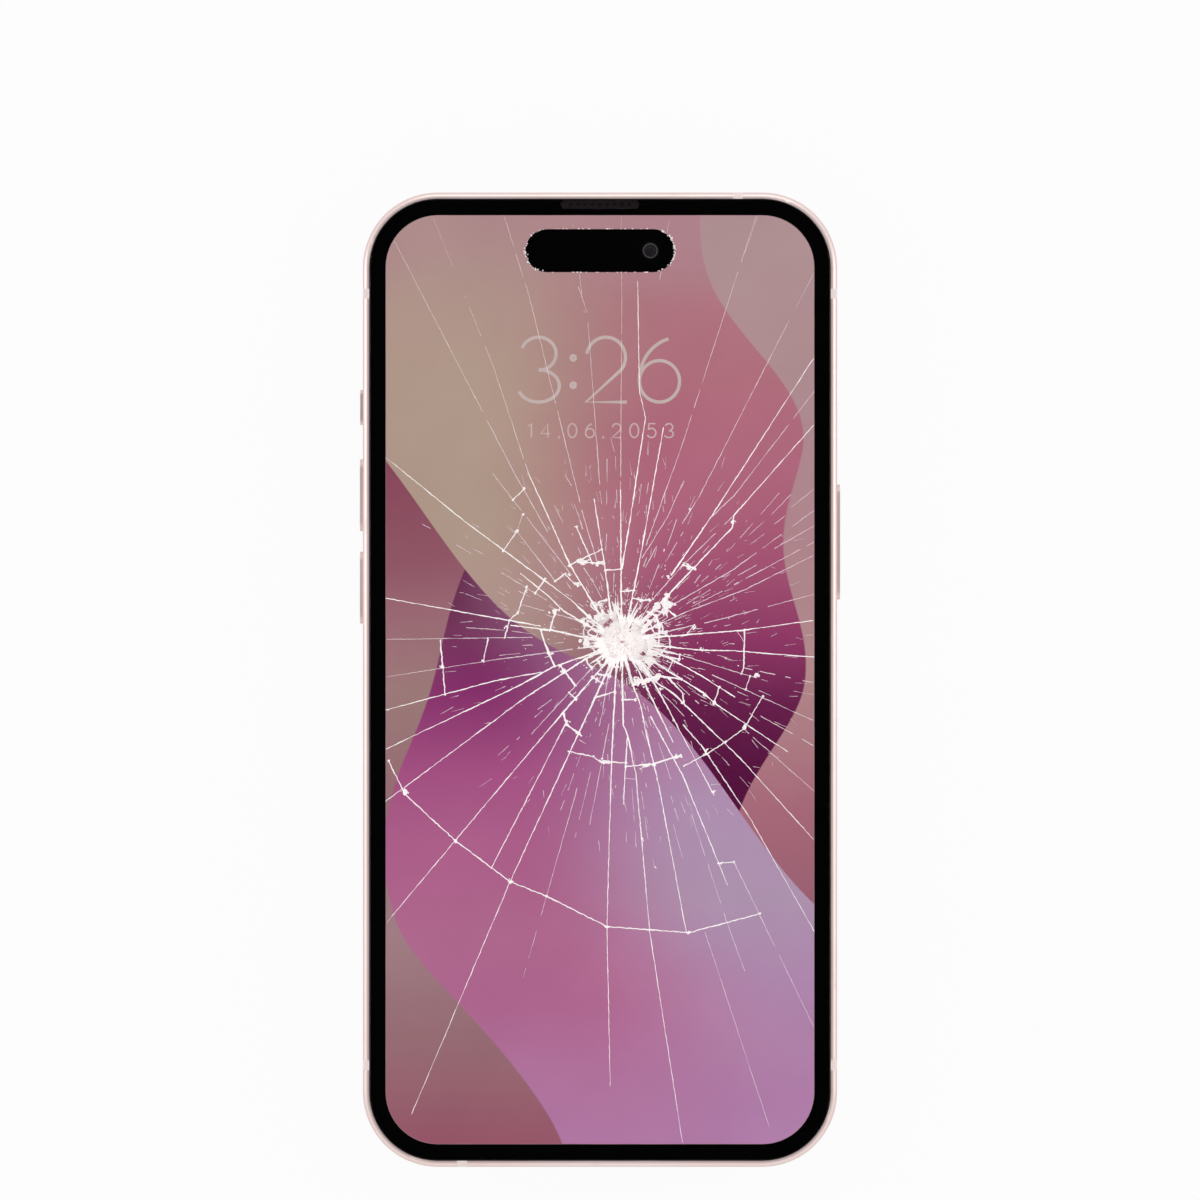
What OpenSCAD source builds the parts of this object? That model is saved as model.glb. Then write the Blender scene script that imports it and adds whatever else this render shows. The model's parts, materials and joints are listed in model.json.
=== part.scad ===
// A pocket phone with a shattered front glass, lying on its back. +Z is the way the screen faces,
// +Y is the top end of the phone and +X is the right side seen from the front.

/* [Body] */
// Width of the housing without its buttons
body_w = 71.6; // [66:0.2:86]
// Height of the housing
body_h = 147.1; // [132:0.5:178]
// Thickness of the housing without the lens rings
body_t = 7.8; // [7.8:0.1:10]
// Radius of the four corners
corner_r = 11.3; // [9:0.1:14]
// Radius that softens the front and rear edges of the band
edge_r = 0.95; // [0.4:0.05:1]
// Thickness of the band beside the glass
lip_w = 1.0; // [1:0.05:1.4]
// Thickness of the band below the glass
wall_w = 2.4; // [2.2:0.1:3]
// Thickness of the plate between screen and battery
mid_plate_t = 0.8; // [0.5:0.1:1.2]

/* [Screen] */
// Thickness of the front glass
glass_t = 0.7; // [0.5:0.05:1]
// Thickness of the display panel
panel_t = 0.6; // [0.4:0.05:0.8]
// Width of the black border that is printed under the glass
border_w = 2.25; // [1.6:0.05:4]
// Length of the cut-out for the front camera
pill_len = 22.5; // [14:0.1:26]
// Width of the cut-out for the front camera
pill_w = 6.5; // [5.5:0.1:8]
// Distance from the top of the housing to the middle of the cut-out
pill_drop = 8.8; // [8:0.1:14]
// Length of the earpiece slot
earpiece_len = 11.8; // [7:0.1:15]

/* [Damage] */
// Place of the blow, right of the middle
blow_x = 3.3; // [-8:0.1:8]
// Place of the blow, above the middle
blow_y = 5.7; // [-12:0.1:12]
// Radius of the crushed pit
crush_r = 4.4; // [2:0.1:6]
// Depth of the crushed pit
crush_depth = 0.3; // [0.1:0.05:0.4]
// Width of a wide crack
crack_wide = 0.26; // [0.15:0.01:0.35]
// Width of a fine crack
crack_fine = 0.14; // [0.08:0.01:0.2]

/* [Buttons] */
// How far each button stands out of the band
button_proud = 0.5; // [0.3:0.05:0.9]
// Width of the buttons across the band
button_w = 3.0; // [2.4:0.1:3.4]
// Length of each volume button
volume_len = 10.9; // [8:0.1:14]
// Length of the side button
side_len = 17.4; // [12:0.1:20]
// Travel of a pressed button
press_travel = 0.3; // [0.2:0.05:0.4]
// Length of the mute switch
mute_len = 5.3; // [4:0.1:6]
// Travel of the mute switch
mute_travel = 1.0; // [0.6:0.1:1.2]

/* [Rear] */
// Thickness of the back glass
back_t = 0.8; // [0.6:0.05:1]
// Outer diameter of a rear lens ring
ring_d = 13; // [10:0.1:15]
// How far the lens rings stand out of the back glass
ring_proud = 1.2; // [0.6:0.1:2.5]
// Distance between the two rear lenses
lens_pitch = 18; // [16:0.5:20]

/* [Ports] */
// Width of the charging port
port_w = 8.94; // [8.9:0.02:9.1]
// Height of the charging port
port_h = 3.26; // [3.2:0.02:3.3]
// Diameter of a speaker hole
speaker_hole_d = 1.5; // [1:0.1:2]
// Length of the SIM tray's front plate
tray_len = 14; // [13.5:0.1:16]
// Depth of the SIM tray
tray_depth = 17; // [15:0.5:20]

/* [Hidden] */
$fn = 64;

// General clearances
eps = 0.01;
slip = 0.1;          // between a moving part and its guide
snug = 0.05;         // between two parts that are only pushed together
half_w = body_w / 2;
half_h = body_h / 2;

// Heights, from the floor up
z_back = ring_proud;
z_front = z_back + body_t;
z_mid = z_back + body_t / 2;
back_top = z_back + back_t;
gasket_t = 0.2;
back_ledge = back_top + gasket_t;
glass_z = z_front - glass_t;
mask_t = 0.05;
mask_z = glass_z - mask_t;
front_ledge = mask_z - gasket_t;
panel_z = mask_z - panel_t;
backplate_t = 0.3;
backplate_z = panel_z - backplate_t;
screen_gap = 0.15;
mid_top = backplate_z - screen_gap;
mid_z = mid_top - mid_plate_t;

// Insets from the outside of the band
bezel_w = 0.15;
glass_in = lip_w + bezel_w + snug;
display_in = glass_in + border_w;
panel_in = display_in - 0.45;
back_in = lip_w + slip;

// Front camera and earpiece
pill_y = half_h - pill_drop;
lens_x = pill_len / 2 - pill_w / 2 - 0.4;
lens_r = 1.3;
bracket_t = 0.5;
earpiece_w = 1.4;
earpiece_y = half_h - lip_w - bezel_w - earpiece_w / 2;

// Rear lenses, in a plain column near the edge
cam_x = half_w - 15;
cam_y = half_h - 15.5;
cover_d = ring_d - 3;
module_size = 10.5;
module_top = mid_z - 0.3;
cover_z = 0.2;
cover_t = 0.6;
barrel_z = 0.85;
seat_w = 0.6;            // ledge in a lens ring that the cover rests against
flash_d = 5;
flash_proud = 0.4;
rear_mic_d = 1.2;
bracket_rim = 1.2;

// Buttons
volume_up_y = 27.9;
volume_gap = 3.1;
volume_down_y = volume_up_y - volume_len - volume_gap;
side_y = 20.8;
mute_y = 41.2;
button_flange = 0.5;
flange_t = 0.6;
mute_w = 1.7;

// Inside
board_x0 = -half_w + wall_w + 4.3;
board_w = 16;
board_y0 = -16;
board_len = half_h - 24 - board_y0;
board_t = 0.8;
board_z = mid_z - 1.7;
battery_x0 = board_x0 + board_w + 1.5;
battery_w = half_w - wall_w - 3.2 - battery_x0;
battery_y0 = -half_h + 23;
battery_len = cam_y - lens_pitch - module_size / 2 - 1.5 - battery_y0;
adhesive_t = 0.2;
coil_t = 0.3;
ferrite_t = 0.15;
battery_z = back_top + coil_t + ferrite_t + 0.1;
battery_t = mid_z - adhesive_t - battery_z;
coil_r = 22;
coil_x = 2;

// Ports in the bottom end
screw_x = 7.4;
speaker_in = 7.5;      // from the start of the corner to the middle of the speaker holes
speaker_x = half_w - corner_r - speaker_in;
mic_x = -speaker_x;
hole_step = 2.4;
speaker_holes = 5;
mic_holes = 3;
screw_d = 1.5;
port_depth = 7;
bottom = -half_h;
break_w = 1.5;
break_depth = 1.6;
break_side_up = half_h - 15.3;
break_side_low = -half_h + 15.4;
break_end_x = 20.8;

// Boxes near the corners stop where the wall has curved in by this much
corner_rise = 0.5;
corner_in_r = corner_r - wall_w;
corner_run = sqrt(pow(corner_in_r, 2) - pow(corner_in_r - corner_rise, 2));

// Small parts inside
earpiece_box = [12, 5, 2.5];
sensor_len = 9;
sensor_w = 3.6;
haptic_box = [22, 7];
haptic_x = -29;
haptic_drop = 1.7;       // how far the haptic case hangs below the middle of the body
speaker_box_x = 7.5;
speaker_box_len = 14;
speaker_drop = 1.9;
mesh_len = 13;
mesh_t = 0.5;
mesh_h = 2.4;
tongue = [6.6, 0.7];
film_t = 0.3;
port_film = [8, 7];
port_rim = 0.35;
screw_head_in = 0.15;
socket_d = 0.8;
socket_deep = 0.6;
post_hole_d = 1.4;
post_screw_d = 1.3;
post_head_d = 2.4;
post_head_t = 0.5;
coil_y = -6;
coil_eye = 0.48;         // hole in the coil as a share of its radius
antenna_len = 14;
antenna_drop = 1.7;

// SIM tray in the left side
tray_y = -34;
tray_w = 2.2;
tray_t = 1.1;
tray_z = z_mid - 0.9;
tray_body = tray_len - 1.6;
tray_plate_t = 1.2;
tray_travel = tray_depth + 3;
card_len = 12.3;
card_w = 8.8;
card_t = 0.6;

// Cracks, each as [width, points], where a point is [angle, distance] about the place of the blow
W = crack_wide;
F = crack_fine;
right_rays = [
    [W, [[8, 5], [6, 12.5], [5.5, 18], [6.5, 31]]],
    [F, [[13, 7], [13, 15.5], [14, 31]]],
    [F, [[25.5, 7], [25, 11], [23, 20], [24.5, 34]]],
    [F, [[27, 19], [27.5, 35]]],
    [F, [[31.5, 27], [31, 36]]],
    [F, [[36.5, 9], [33, 20], [34.5, 37]]],
    [W, [[45.5, 9], [46, 24], [48.5, 25.5], [48.5, 46]]],
    [F, [[48.5, 25.5], [51.5, 15], [56.5, 6]]],
    [F, [[54.5, 23], [52.5, 28], [52.5, 50]]],
    [W, [[53.5, 12.5], [54.5, 23], [56, 54]]]];
upper_rays = [
    [F, [[63, 20], [62, 25], [62.5, 54]]],
    [F, [[76, 15], [73, 31], [72.5, 70]]],
    [W, [[76, 5], [78, 15.5], [79, 33]]],
    [F, [[76.5, 13], [70, 20], [69, 26]]],
    [W, [[90, 11], [86, 19], [84, 34], [86, 38], [87.5, 54.5]]],
    [W, [[91, 5], [90.5, 23]]],
    [F, [[90.5, 23], [90, 52]]],
    [F, [[98, 24], [96, 50], [97, 54]]],
    [W, [[110, 5], [103, 11], [101, 22]]],
    [F, [[107, 12.5], [107, 20], [105, 54], [105.5, 68]]],
    [W, [[128, 6], [124, 14], [119, 29]]],
    [F, [[119, 29], [115, 46]]],
    [F, [[124, 20], [122.5, 30], [119.5, 72]]],
    [F, [[127, 13], [127.5, 32]]],
    [F, [[139, 12], [133.5, 23], [127.5, 24.5]]],
    [W, [[143, 6], [140.5, 10], [142.5, 30], [142, 44]]]];
left_rays = [
    [W, [[154.5, 5], [152, 10], [148, 13], [146, 18.5]]],
    [F, [[151, 13], [150, 21]]],
    [F, [[154.5, 8], [159.5, 16]]],
    [W, [[169, 12.5], [169.5, 39]]],
    [W, [[172.5, 6], [170.5, 11], [171.5, 17]]],
    [F, [[177, 13.5], [179.5, 39]]],
    [F, [[188.5, 6], [188, 20], [188.5, 38]]],
    [W, [[200.5, 13], [197, 20], [196, 40]]],
    [W, [[201.5, 5], [200, 11], [203, 17], [204.5, 43]]],
    [W, [[205, 6], [210, 17], [214, 43]]],
    [F, [[221, 6], [225.5, 19.5]]],
    [W, [[231.5, 5], [230, 20], [230, 54]]]];
lower_rays = [
    [W, [[235.5, 15], [240, 39.5]]],
    [W, [[243.5, 5], [245, 40], [246, 78]]],
    [F, [[249, 6], [254.5, 11], [255, 13.5]]],
    [F, [[253, 23], [253.5, 40]]],
    [W, [[259.5, 5], [265, 18], [267, 43], [268.5, 67]]],
    [F, [[261, 12.5], [260, 28]]],
    [W, [[270.5, 5], [271, 12.5], [273.5, 14], [276, 20], [275.5, 44], [277, 80]]],
    [W, [[273.5, 14], [270.5, 24.5]]],
    [W, [[284, 6.5], [286.5, 10], [285, 14], [284.5, 22], [282.5, 45]]],
    [F, [[292, 28], [290.5, 46], [290.5, 53]]],
    [W, [[291, 12], [294.5, 22], [293.5, 40]]],
    [F, [[297, 37], [296.5, 66]]],
    [F, [[286, 45.5], [287, 82]]],
    [W, [[300, 5], [297, 17]]],
    [W, [[308, 8], [305.5, 11], [301, 27]]],
    [W, [[306.5, 15.5], [307.5, 20], [306, 33], [303.5, 54]]],
    [W, [[310.5, 8], [315, 11], [315.5, 25], [314, 45]]],
    [F, [[324.5, 22.5], [322, 39]]],
    [W, [[328, 8], [328, 14.5], [326.5, 17], [326.5, 30]]],
    [F, [[332, 22.5], [331.5, 36]]],
    [W, [[342, 7], [337, 13], [334, 19]]],
    [F, [[340, 14.5], [337.5, 34]]],
    [F, [[347.5, 9], [345, 21]]],
    [F, [[348, 19], [348, 31]]],
    [W, [[354, 5], [354, 12], [355.5, 17], [355.5, 31]]]];
rings = [
    [W, [[0, 5.6], [20, 6], [37, 6.5], [50, 6]]],
    [W, [[25.5, 9], [40, 8.3], [45.5, 9.5], [46, 9]]],
    [F, [[8, 10], [13, 11.2]]],
    [F, [[45.5, 15.6], [51.5, 14.8]]],
    [F, [[57, 7.6], [64, 6.9], [76, 6.8]]],
    [F, [[76.5, 8], [91, 7.6]]],
    [F, [[90.5, 11], [103, 11.1]]],
    [F, [[102, 14.3], [124, 14]]],
    [F, [[102.5, 12.2], [110.5, 12.7], [118, 13.7]]],
    [F, [[110.5, 12.7], [111.5, 18.7]]],
    [F, [[126, 11], [129, 11.4], [130, 13.4], [137.5, 13.6]]],
    [F, [[122.5, 27.4], [127.5, 27]]],
    [F, [[133.5, 23], [142.5, 22.6]]],
    [F, [[140.5, 15], [150.5, 15]]],
    [F, [[150, 16.6], [164.5, 16.3], [169, 17.3], [178, 17.7]]],
    [W, [[156, 11], [170.5, 11], [171.5, 12.4], [188.5, 11.2], [200, 10.8]]],
    [F, [[179, 20.2], [188, 21.1]]],
    [W, [[179.5, 27.4], [188, 27.3], [196.5, 27.8]]],
    [W, [[201, 10], [223, 9.6]]],
    [F, [[223.5, 11], [231.5, 11.1]]],
    [W, [[231, 14], [236.5, 15], [246.5, 15.4]]],
    [F, [[230, 6.9], [245, 6.9]]],
    [W, [[207, 39.5], [215, 40], [230, 39.1], [245, 39.9], [253.5, 40], [267, 43], [283, 45], [297, 46]]],
    [F, [[244, 18.4], [256, 17.8], [260, 18.4], [272, 18.2]]],
    [W, [[272, 18.8], [285, 19], [297.5, 19.3]]],
    [F, [[244.5, 9.3], [251.5, 8.4], [261.5, 7.6]]],
    [F, [[270, 8.7], [283.5, 8.9]]],
    [F, [[293.5, 36.4], [297, 37.3]]],
    [W, [[283.5, 6.8], [308, 7], [316, 7.4], [328, 10.6]]],
    [F, [[297, 20.9], [307, 21.2], [316, 21.7], [324.5, 22.6], [339, 22.8]]],
    [F, [[339, 20], [345, 20]]],
    [F, [[345, 18.7], [348, 18.8], [366, 18.6]]],
    [F, [[326.5, 16.7], [335, 16.2]]],
    [F, [[315.5, 13], [320, 12], [322, 9]]],
    [W, [[342, 7.2], [343, 9], [348, 9]]]];

function polar(p) = [p[1] * cos(p[0]), p[1] * sin(p[0])];

// The housing's outline, drawn in by d from its outside
module outline(d) {
    w = body_w - 2 * d;
    h = body_h - 2 * d;
    rounded_rect(w, h, corner_r - d);
}

module rounded_rect(w, h, r) {
    square([w - 2 * r, h], center = true);
    square([w, h - 2 * r], center = true);
    for (x = [-1, 1], y = [-1, 1])
        translate([x * (w / 2 - r), y * (h / 2 - r)])
            circle(r);
}

module slab(d, z, t) {
    translate([0, 0, z])
        linear_extrude(t)
            outline(d);
}

// A flat ring between two insets of the outline
module ring_slab(d1, d2, z, t) {
    translate([0, 0, z])
        linear_extrude(t)
            difference() {
                outline(d1);
                outline(d2);
            }
}

// A slot with round ends, drawn along X
module stadium(len, w) {
    square([len - w, w], center = true);
    for (x = [-1, 1])
        translate([x * (len - w) / 2, 0])
            circle(w / 2);
}

module pill(x, y, len, w, z, t) {
    translate([x, y, z])
        linear_extrude(t)
            stadium(len, w);
}

// A round-ended bar that runs in from a side of the band: s is -1 for the left and 1 for the right
module side_bar(s, y, len, w, out, depth, z = z_mid) {
    translate([s * (half_w + out), y, z])
        rotate([0, -s * 90, 0])
            linear_extrude(out + depth)
                rotate(90)
                    stadium(len, w);
}

// A box from its low corner
module box(x, y, z, w, h, t) {
    translate([x, y, z])
        cube([w, h, t]);
}

// A round bar that runs up into the housing from its bottom end
module end_bar(x, d, depth, z = z_mid, start = 1) {
    translate([x, bottom - start, z])
        rotate([-90, 0, 0])
            cylinder(d = d, h = depth + start);
}

// The band's cross-section, with X running in from its outside
module band_profile() {
    for (z = [z_back + edge_r, z_front - edge_r])
        intersection() {
            translate([edge_r, z])
                circle(edge_r);
            translate([0, z - edge_r])
                square([edge_r, 2 * edge_r]);
        }
    translate([0, z_back + edge_r])
        square([lip_w, body_t - 2 * edge_r]);
    translate([edge_r - eps, z_back])
        square([lip_w - edge_r + eps, body_t]);
    translate([lip_w - eps, back_ledge])
        square([wall_w - lip_w + eps, front_ledge - back_ledge]);
}

module band() {
    for (s = [0, 180])
        rotate(s) {
            translate([-half_w, half_h - corner_r, 0])
                rotate([90, 0, 0])
                    linear_extrude(body_h - 2 * corner_r)
                        band_profile();
            translate([half_w - corner_r, half_h, 0])
                rotate([90, 0, -90])
                    linear_extrude(body_w - 2 * corner_r)
                        band_profile();
        }
    for (x = [-1, 1], y = [-1, 1])
        translate([x * (half_w - corner_r), y * (half_h - corner_r), 0])
            rotate_extrude(angle = 90, start = x > 0 ? (y > 0 ? 0 : 270) : (y > 0 ? 90 : 180))
                translate([corner_r, 0])
                    mirror([1, 0])
                        band_profile();
}

// Where plastic breaks the metal band for the aerials
module break_blocks() {
    for (s = [-1, 1]) {
        for (y = [break_side_up, break_side_low])
            box(s > 0 ? half_w - break_depth : -half_w - 1, y - break_w / 2, 0,
                break_depth + 1, break_w, z_front + 1);
        box(s * break_end_x - break_w / 2, s > 0 ? half_h - break_depth : bottom - 1, 0,
            break_w, break_depth + 1, z_front + 1);
    }
}

module boss(x, y, z_low) {
    translate([x, y, z_low])
        cylinder(d = 2.6, h = mid_z - z_low + 0.1);
}

function board_posts() = [[board_x0 + 2, board_y0 + 2], [board_x0 + board_w - 2, board_y0 + 2],
    [board_x0 + 2, board_y0 + board_len - 2], [board_x0 + board_w - 2, board_y0 + board_len - 2]];

module speaker_row(x, n, d, depth) {
    for (i = [0 : n - 1])
        end_bar(x + (i - (n - 1) / 2) * hole_step, d, depth);
}

// Room in the mid plate for the feet of the buttons and for the port
module inner_pockets() {
    foot = flange_t + snug + press_travel + 0.2;
    for (b = [[-1, volume_up_y, volume_len], [-1, volume_down_y, volume_len], [1, side_y, side_len],
        [-1, mute_y, mute_len]]) {
        len = b[2] + 2 * button_flange + 2 * slip;
        box(b[0] < 0 ? -half_w + wall_w : half_w - wall_w - foot, b[1] - len / 2, mid_z - 1,
            foot, len, mid_plate_t + 2);
    }
    box(-port_w / 2 - 0.4, bottom + wall_w, mid_z - 1, port_w + 0.8, port_depth, mid_plate_t + 2);
}

module frame() {
    color([0.91, 0.84, 0.83])
        difference() {
            union() {
                difference() {
                    band();
                    break_blocks();
                }
                difference() {
                    slab(wall_w - 0.2, mid_z, mid_plate_t);
                    for (i = [0, 1])
                        translate([cam_x, cam_y - i * lens_pitch, mid_z - 1])
                            cylinder(d = 3, h = mid_plate_t + 2);
                    pill(0, pill_y, pill_len - 1, pill_w - 1.5, mid_z - 1, mid_plate_t + 2);
                    box(board_x0 + 5, board_y0 - 8, mid_z - 1, 8, 3, mid_plate_t + 2);
                }
                for (p = board_posts())
                    boss(p[0], p[1], board_z + board_t);
            }
            for (y = [volume_up_y, volume_down_y])
                side_bar(-1, y, volume_len + 2 * slip, button_w + 2 * slip, 1, wall_w + 1);
            side_bar(1, side_y, side_len + 2 * slip, button_w + 2 * slip, 1, wall_w + 1);
            box(-half_w - 1, mute_y - mute_len / 2 - slip, z_mid - (mute_w + mute_travel) / 2 - slip,
                wall_w + 2, mute_len + 2 * slip, mute_w + mute_travel + 2 * slip);
            side_bar(-1, tray_y, tray_len + 2 * snug, tray_w + 2 * snug, 1, tray_plate_t + snug, tray_z);
            box(-half_w, tray_y - tray_body / 2 - slip, tray_z - tray_t / 2 - slip,
                wall_w + 1, tray_body + 2 * slip, tray_t + 2 * slip);
            translate([0, bottom - 1, z_mid])
                rotate([-90, 0, 0])
                    linear_extrude(wall_w + 2)
                        stadium(port_w + 0.8, port_h + 0.8);
            speaker_row(speaker_x, speaker_holes, speaker_hole_d, wall_w + 1);
            speaker_row(mic_x, mic_holes, speaker_hole_d, wall_w + 1);
            for (s = [-1, 1]) {
                end_bar(s * screw_x, screw_d + 2 * snug, wall_w + 1);
            }
            pill(0, earpiece_y, earpiece_len, earpiece_w, front_ledge - 1, 2);
            inner_pockets();
        }
}

module antenna_breaks() {
    color([0.97, 0.91, 0.9])
        intersection() {
            band();
            break_blocks();
        }
}

module glass_bezel() {
    color([0.1, 0.09, 0.09])
        ring_slab(lip_w, lip_w + bezel_w, front_ledge, z_front - edge_r * 0.1 - front_ledge);
}

module crack(c) {
    for (i = [0 : len(c[1]) - 1]) {
        a = polar(c[1][max(i - 1, 0)]);
        b = polar(c[1][i]);
        translate(b) {
            circle(d = c[0], $fn = 6);
            rotate(atan2(a[1] - b[1], a[0] - b[0]))
                translate([0, -c[0] / 2])
                    square([norm(a - b) + eps, c[0]]);
        }
    }
}

// All the cracks as one flat shape, stopped at the edge of the display
module crack_shape() {
    offset(delta = 0.001)
        intersection() {
            translate([blow_x, blow_y])
                for (c = concat(right_rays, upper_rays, left_rays, lower_rays, rings))
                    crack(c);
            square([body_w - 2 * display_in, body_h - 2 * display_in], center = true);
        }
}

module crush_pit() {
    translate([blow_x, blow_y, z_front - crush_depth])
        cylinder(r1 = crush_r * 0.25, r2 = crush_r, h = crush_depth + eps);
}

module cover_glass() {
    color([0.85, 0.8, 0.82, 0.5])
        difference() {
            translate([0, 0, glass_z])
                linear_extrude(glass_t)
                    difference() {
                        outline(glass_in);
                        crack_shape();
                        translate([0, earpiece_y])
                            stadium(earpiece_len, earpiece_w);
                    }
            crush_pit();
        }
}

module border_mask() {
    color([0.01, 0.01, 0.01]) {
        difference() {
            ring_slab(glass_in, display_in, mask_z, mask_t);
            pill(0, earpiece_y, earpiece_len, earpiece_w, mask_z - 1, mask_t + 2);
        }
        difference() {
            pill(0, pill_y, pill_len, pill_w, mask_z, mask_t);
            translate([lens_x, pill_y, mask_z - 1])
                cylinder(r = lens_r, h = mask_t + 2);
        }
    }
}

module display_panel() {
    color([0.66, 0.4, 0.5])
        difference() {
            slab(panel_in, panel_z, panel_t);
            pill(0, pill_y, pill_len - 0.6, pill_w - 0.6, panel_z - 1, panel_t + 2);
        }
}

module display_backplate() {
    color([0.25, 0.25, 0.27])
        difference() {
            slab(panel_in + 0.3, backplate_z, backplate_t);
            pill(0, pill_y, pill_len - 0.6, pill_w - 0.6, backplate_z - 1, backplate_t + 2);
        }
}

module display_flex() {
    color([0.55, 0.3, 0.1])
        box(board_x0 + 5.5, board_y0 - 7.5, board_z, 7, 2, backplate_z - board_z);
}

module display_gasket() {
    color([0.08, 0.08, 0.08])
        difference() {
            ring_slab(glass_in + 0.1, wall_w - 0.1, front_ledge, gasket_t);
            pill(0, earpiece_y, earpiece_len + 0.4, earpiece_w + 0.4, front_ledge - 1, gasket_t + 2);
        }
}

module earpiece_mesh() {
    color([0.1, 0.09, 0.1])
        difference() {
            pill(0, earpiece_y, earpiece_len - 2 * snug, earpiece_w - 2 * snug, mask_z, glass_t * 0.6);
            for (i = [-4 : 4])
                translate([i * 1.1, earpiece_y, mask_z + glass_t * 0.3])
                    cylinder(d = 0.6, h = glass_t);
        }
}

module earpiece_speaker() {
    color([0.2, 0.2, 0.2])
        box(-earpiece_box[0] / 2, half_h - wall_w - earpiece_box[1] - 0.3, mid_z - earpiece_box[2] - slip,
            earpiece_box[0], earpiece_box[1], earpiece_box[2]);
}

module front_camera() {
    color([0.06, 0.06, 0.07])
        translate([lens_x, pill_y, mid_z + bracket_t])
            cylinder(r = lens_r + 0.6, h = mask_z - mid_z - bracket_t);
}

module front_camera_lens() {
    color([0.12, 0.11, 0.13])
        translate([lens_x, pill_y, mask_z])
            cylinder(r = lens_r - snug, h = mask_t);
}

module face_sensor() {
    color([0.09, 0.08, 0.09])
        box(-lens_x - 2.2, pill_y - sensor_w / 2, mid_z + bracket_t, sensor_len, sensor_w,
            mask_z - mid_z - bracket_t);
}

module sensor_bracket() {
    color([0.6, 0.6, 0.62])
        pill(0, pill_y, pill_len - 1.4, pill_w - 1.9, mid_z, bracket_t);
}

module back_glass() {
    color([0.9, 0.78, 0.78])
        difference() {
            slab(back_in, z_back, back_t);
            for (i = [0, 1])
                translate([cam_x, cam_y - i * lens_pitch, z_back - 1])
                    cylinder(d = ring_d + 2 * slip, h = back_t + 2);
            translate([cam_x - ring_d, cam_y, z_back - 1])
                cylinder(d = flash_d + 2 * snug, h = back_t + 2);
            translate([cam_x - ring_d, cam_y - lens_pitch, z_back - 1])
                cylinder(d = rear_mic_d, h = back_t + 2);
        }
}

module back_gasket() {
    color([0.08, 0.08, 0.08])
        ring_slab(back_in + 0.1, wall_w - 0.1, back_top, gasket_t);
}

module lens_ring(i) {
    color([0.92, 0.83, 0.83])
        translate([cam_x, cam_y - i * lens_pitch, 0])
            rotate_extrude() {
                translate([cover_d / 2 + snug, 0])
                    square([(ring_d - cover_d) / 2 - snug, back_top]);
                translate([cover_d / 2 - seat_w, cover_z + cover_t])
                    square([1, back_top - cover_z - cover_t]);
            }
}

module lens_ring_main() {
    lens_ring(0);
}

module lens_ring_wide() {
    lens_ring(1);
}

module lens_cover(i) {
    color([0.05, 0.05, 0.07])
        translate([cam_x, cam_y - i * lens_pitch, cover_z])
            cylinder(d = cover_d, h = cover_t);
}

module lens_cover_main() {
    lens_cover(0);
}

module lens_cover_wide() {
    lens_cover(1);
}

module camera_module(i) {
    color([0.12, 0.12, 0.13])
        translate([cam_x, cam_y - i * lens_pitch, 0]) {
            translate([-module_size / 2, -module_size / 2, back_ledge])
                cube([module_size, module_size, module_top - back_ledge]);
            translate([0, 0, barrel_z])
                cylinder(d = cover_d - 2 * seat_w - 0.4, h = back_ledge - barrel_z + eps);
        }
}

module camera_main() {
    camera_module(0);
}

module camera_wide() {
    camera_module(1);
}

module camera_bracket() {
    color([0.62, 0.62, 0.64])
        difference() {
            box(cam_x - module_size / 2 - bracket_rim, cam_y - lens_pitch - module_size / 2 - bracket_rim,
                back_ledge + 1, module_size + 2 * bracket_rim, lens_pitch + module_size + 2 * bracket_rim,
                mid_z - back_ledge - 1);
            for (i = [0, 1])
                box(cam_x - module_size / 2 - slip, cam_y - i * lens_pitch - module_size / 2 - slip, 0,
                    module_size + 2 * slip, module_size + 2 * slip, z_front);
        }
}

module flash_lens() {
    color([0.95, 0.93, 0.8])
        translate([cam_x - ring_d, cam_y, z_back])
            cylinder(d = flash_d, h = back_t + flash_proud);
}

module rear_microphone() {
    color([0.2, 0.2, 0.2])
        box(cam_x - ring_d - 1.5, cam_y - lens_pitch - 1, back_top, 3, 2, 1);
}

module logic_board() {
    color([0.08, 0.16, 0.12])
        difference() {
            box(board_x0, board_y0, board_z, board_w, board_len, board_t);
            for (p = board_posts())
                translate([p[0], p[1], board_z - 1])
                    cylinder(d = post_hole_d, h = board_t + 2);
        }
}

module shield(z, t) {
    box(board_x0 + 1, board_y0 + 5, z, board_w - 2, board_len - 10, t);
}

module board_shield_front() {
    color([0.7, 0.7, 0.72])
        shield(board_z + board_t, mid_z - 0.1 - board_z - board_t);
}

module board_shield_back() {
    color([0.7, 0.7, 0.72])
        shield(back_top + 0.3, board_z - back_top - 0.3);
}

module connector_cover() {
    color([0.66, 0.66, 0.68])
        box(board_x0 + board_w / 2 - 3, board_y0 - 4.6, board_z, 6, 4.5, board_t);
}

module battery() {
    color([0.1, 0.1, 0.11])
        translate([battery_x0 + battery_w / 2, battery_y0 + battery_len / 2, battery_z])
            linear_extrude(battery_t)
                rounded_rect(battery_w, battery_len, 1.5);
}

module battery_adhesive() {
    color([0.9, 0.9, 0.9])
        for (i = [-1, 0, 1])
            translate([battery_x0 + battery_w * (0.5 + 0.3 * i), battery_y0 + battery_len / 2, mid_z - adhesive_t])
                linear_extrude(adhesive_t)
                    rounded_rect(battery_w * 0.2, battery_len * 0.85, 0.8);
}

module battery_flex() {
    color([0.55, 0.3, 0.1])
        box(board_x0 + board_w + slip, board_y0 + 12, board_z, battery_x0 - board_x0 - board_w - 2 * slip, 5, film_t);
}

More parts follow.
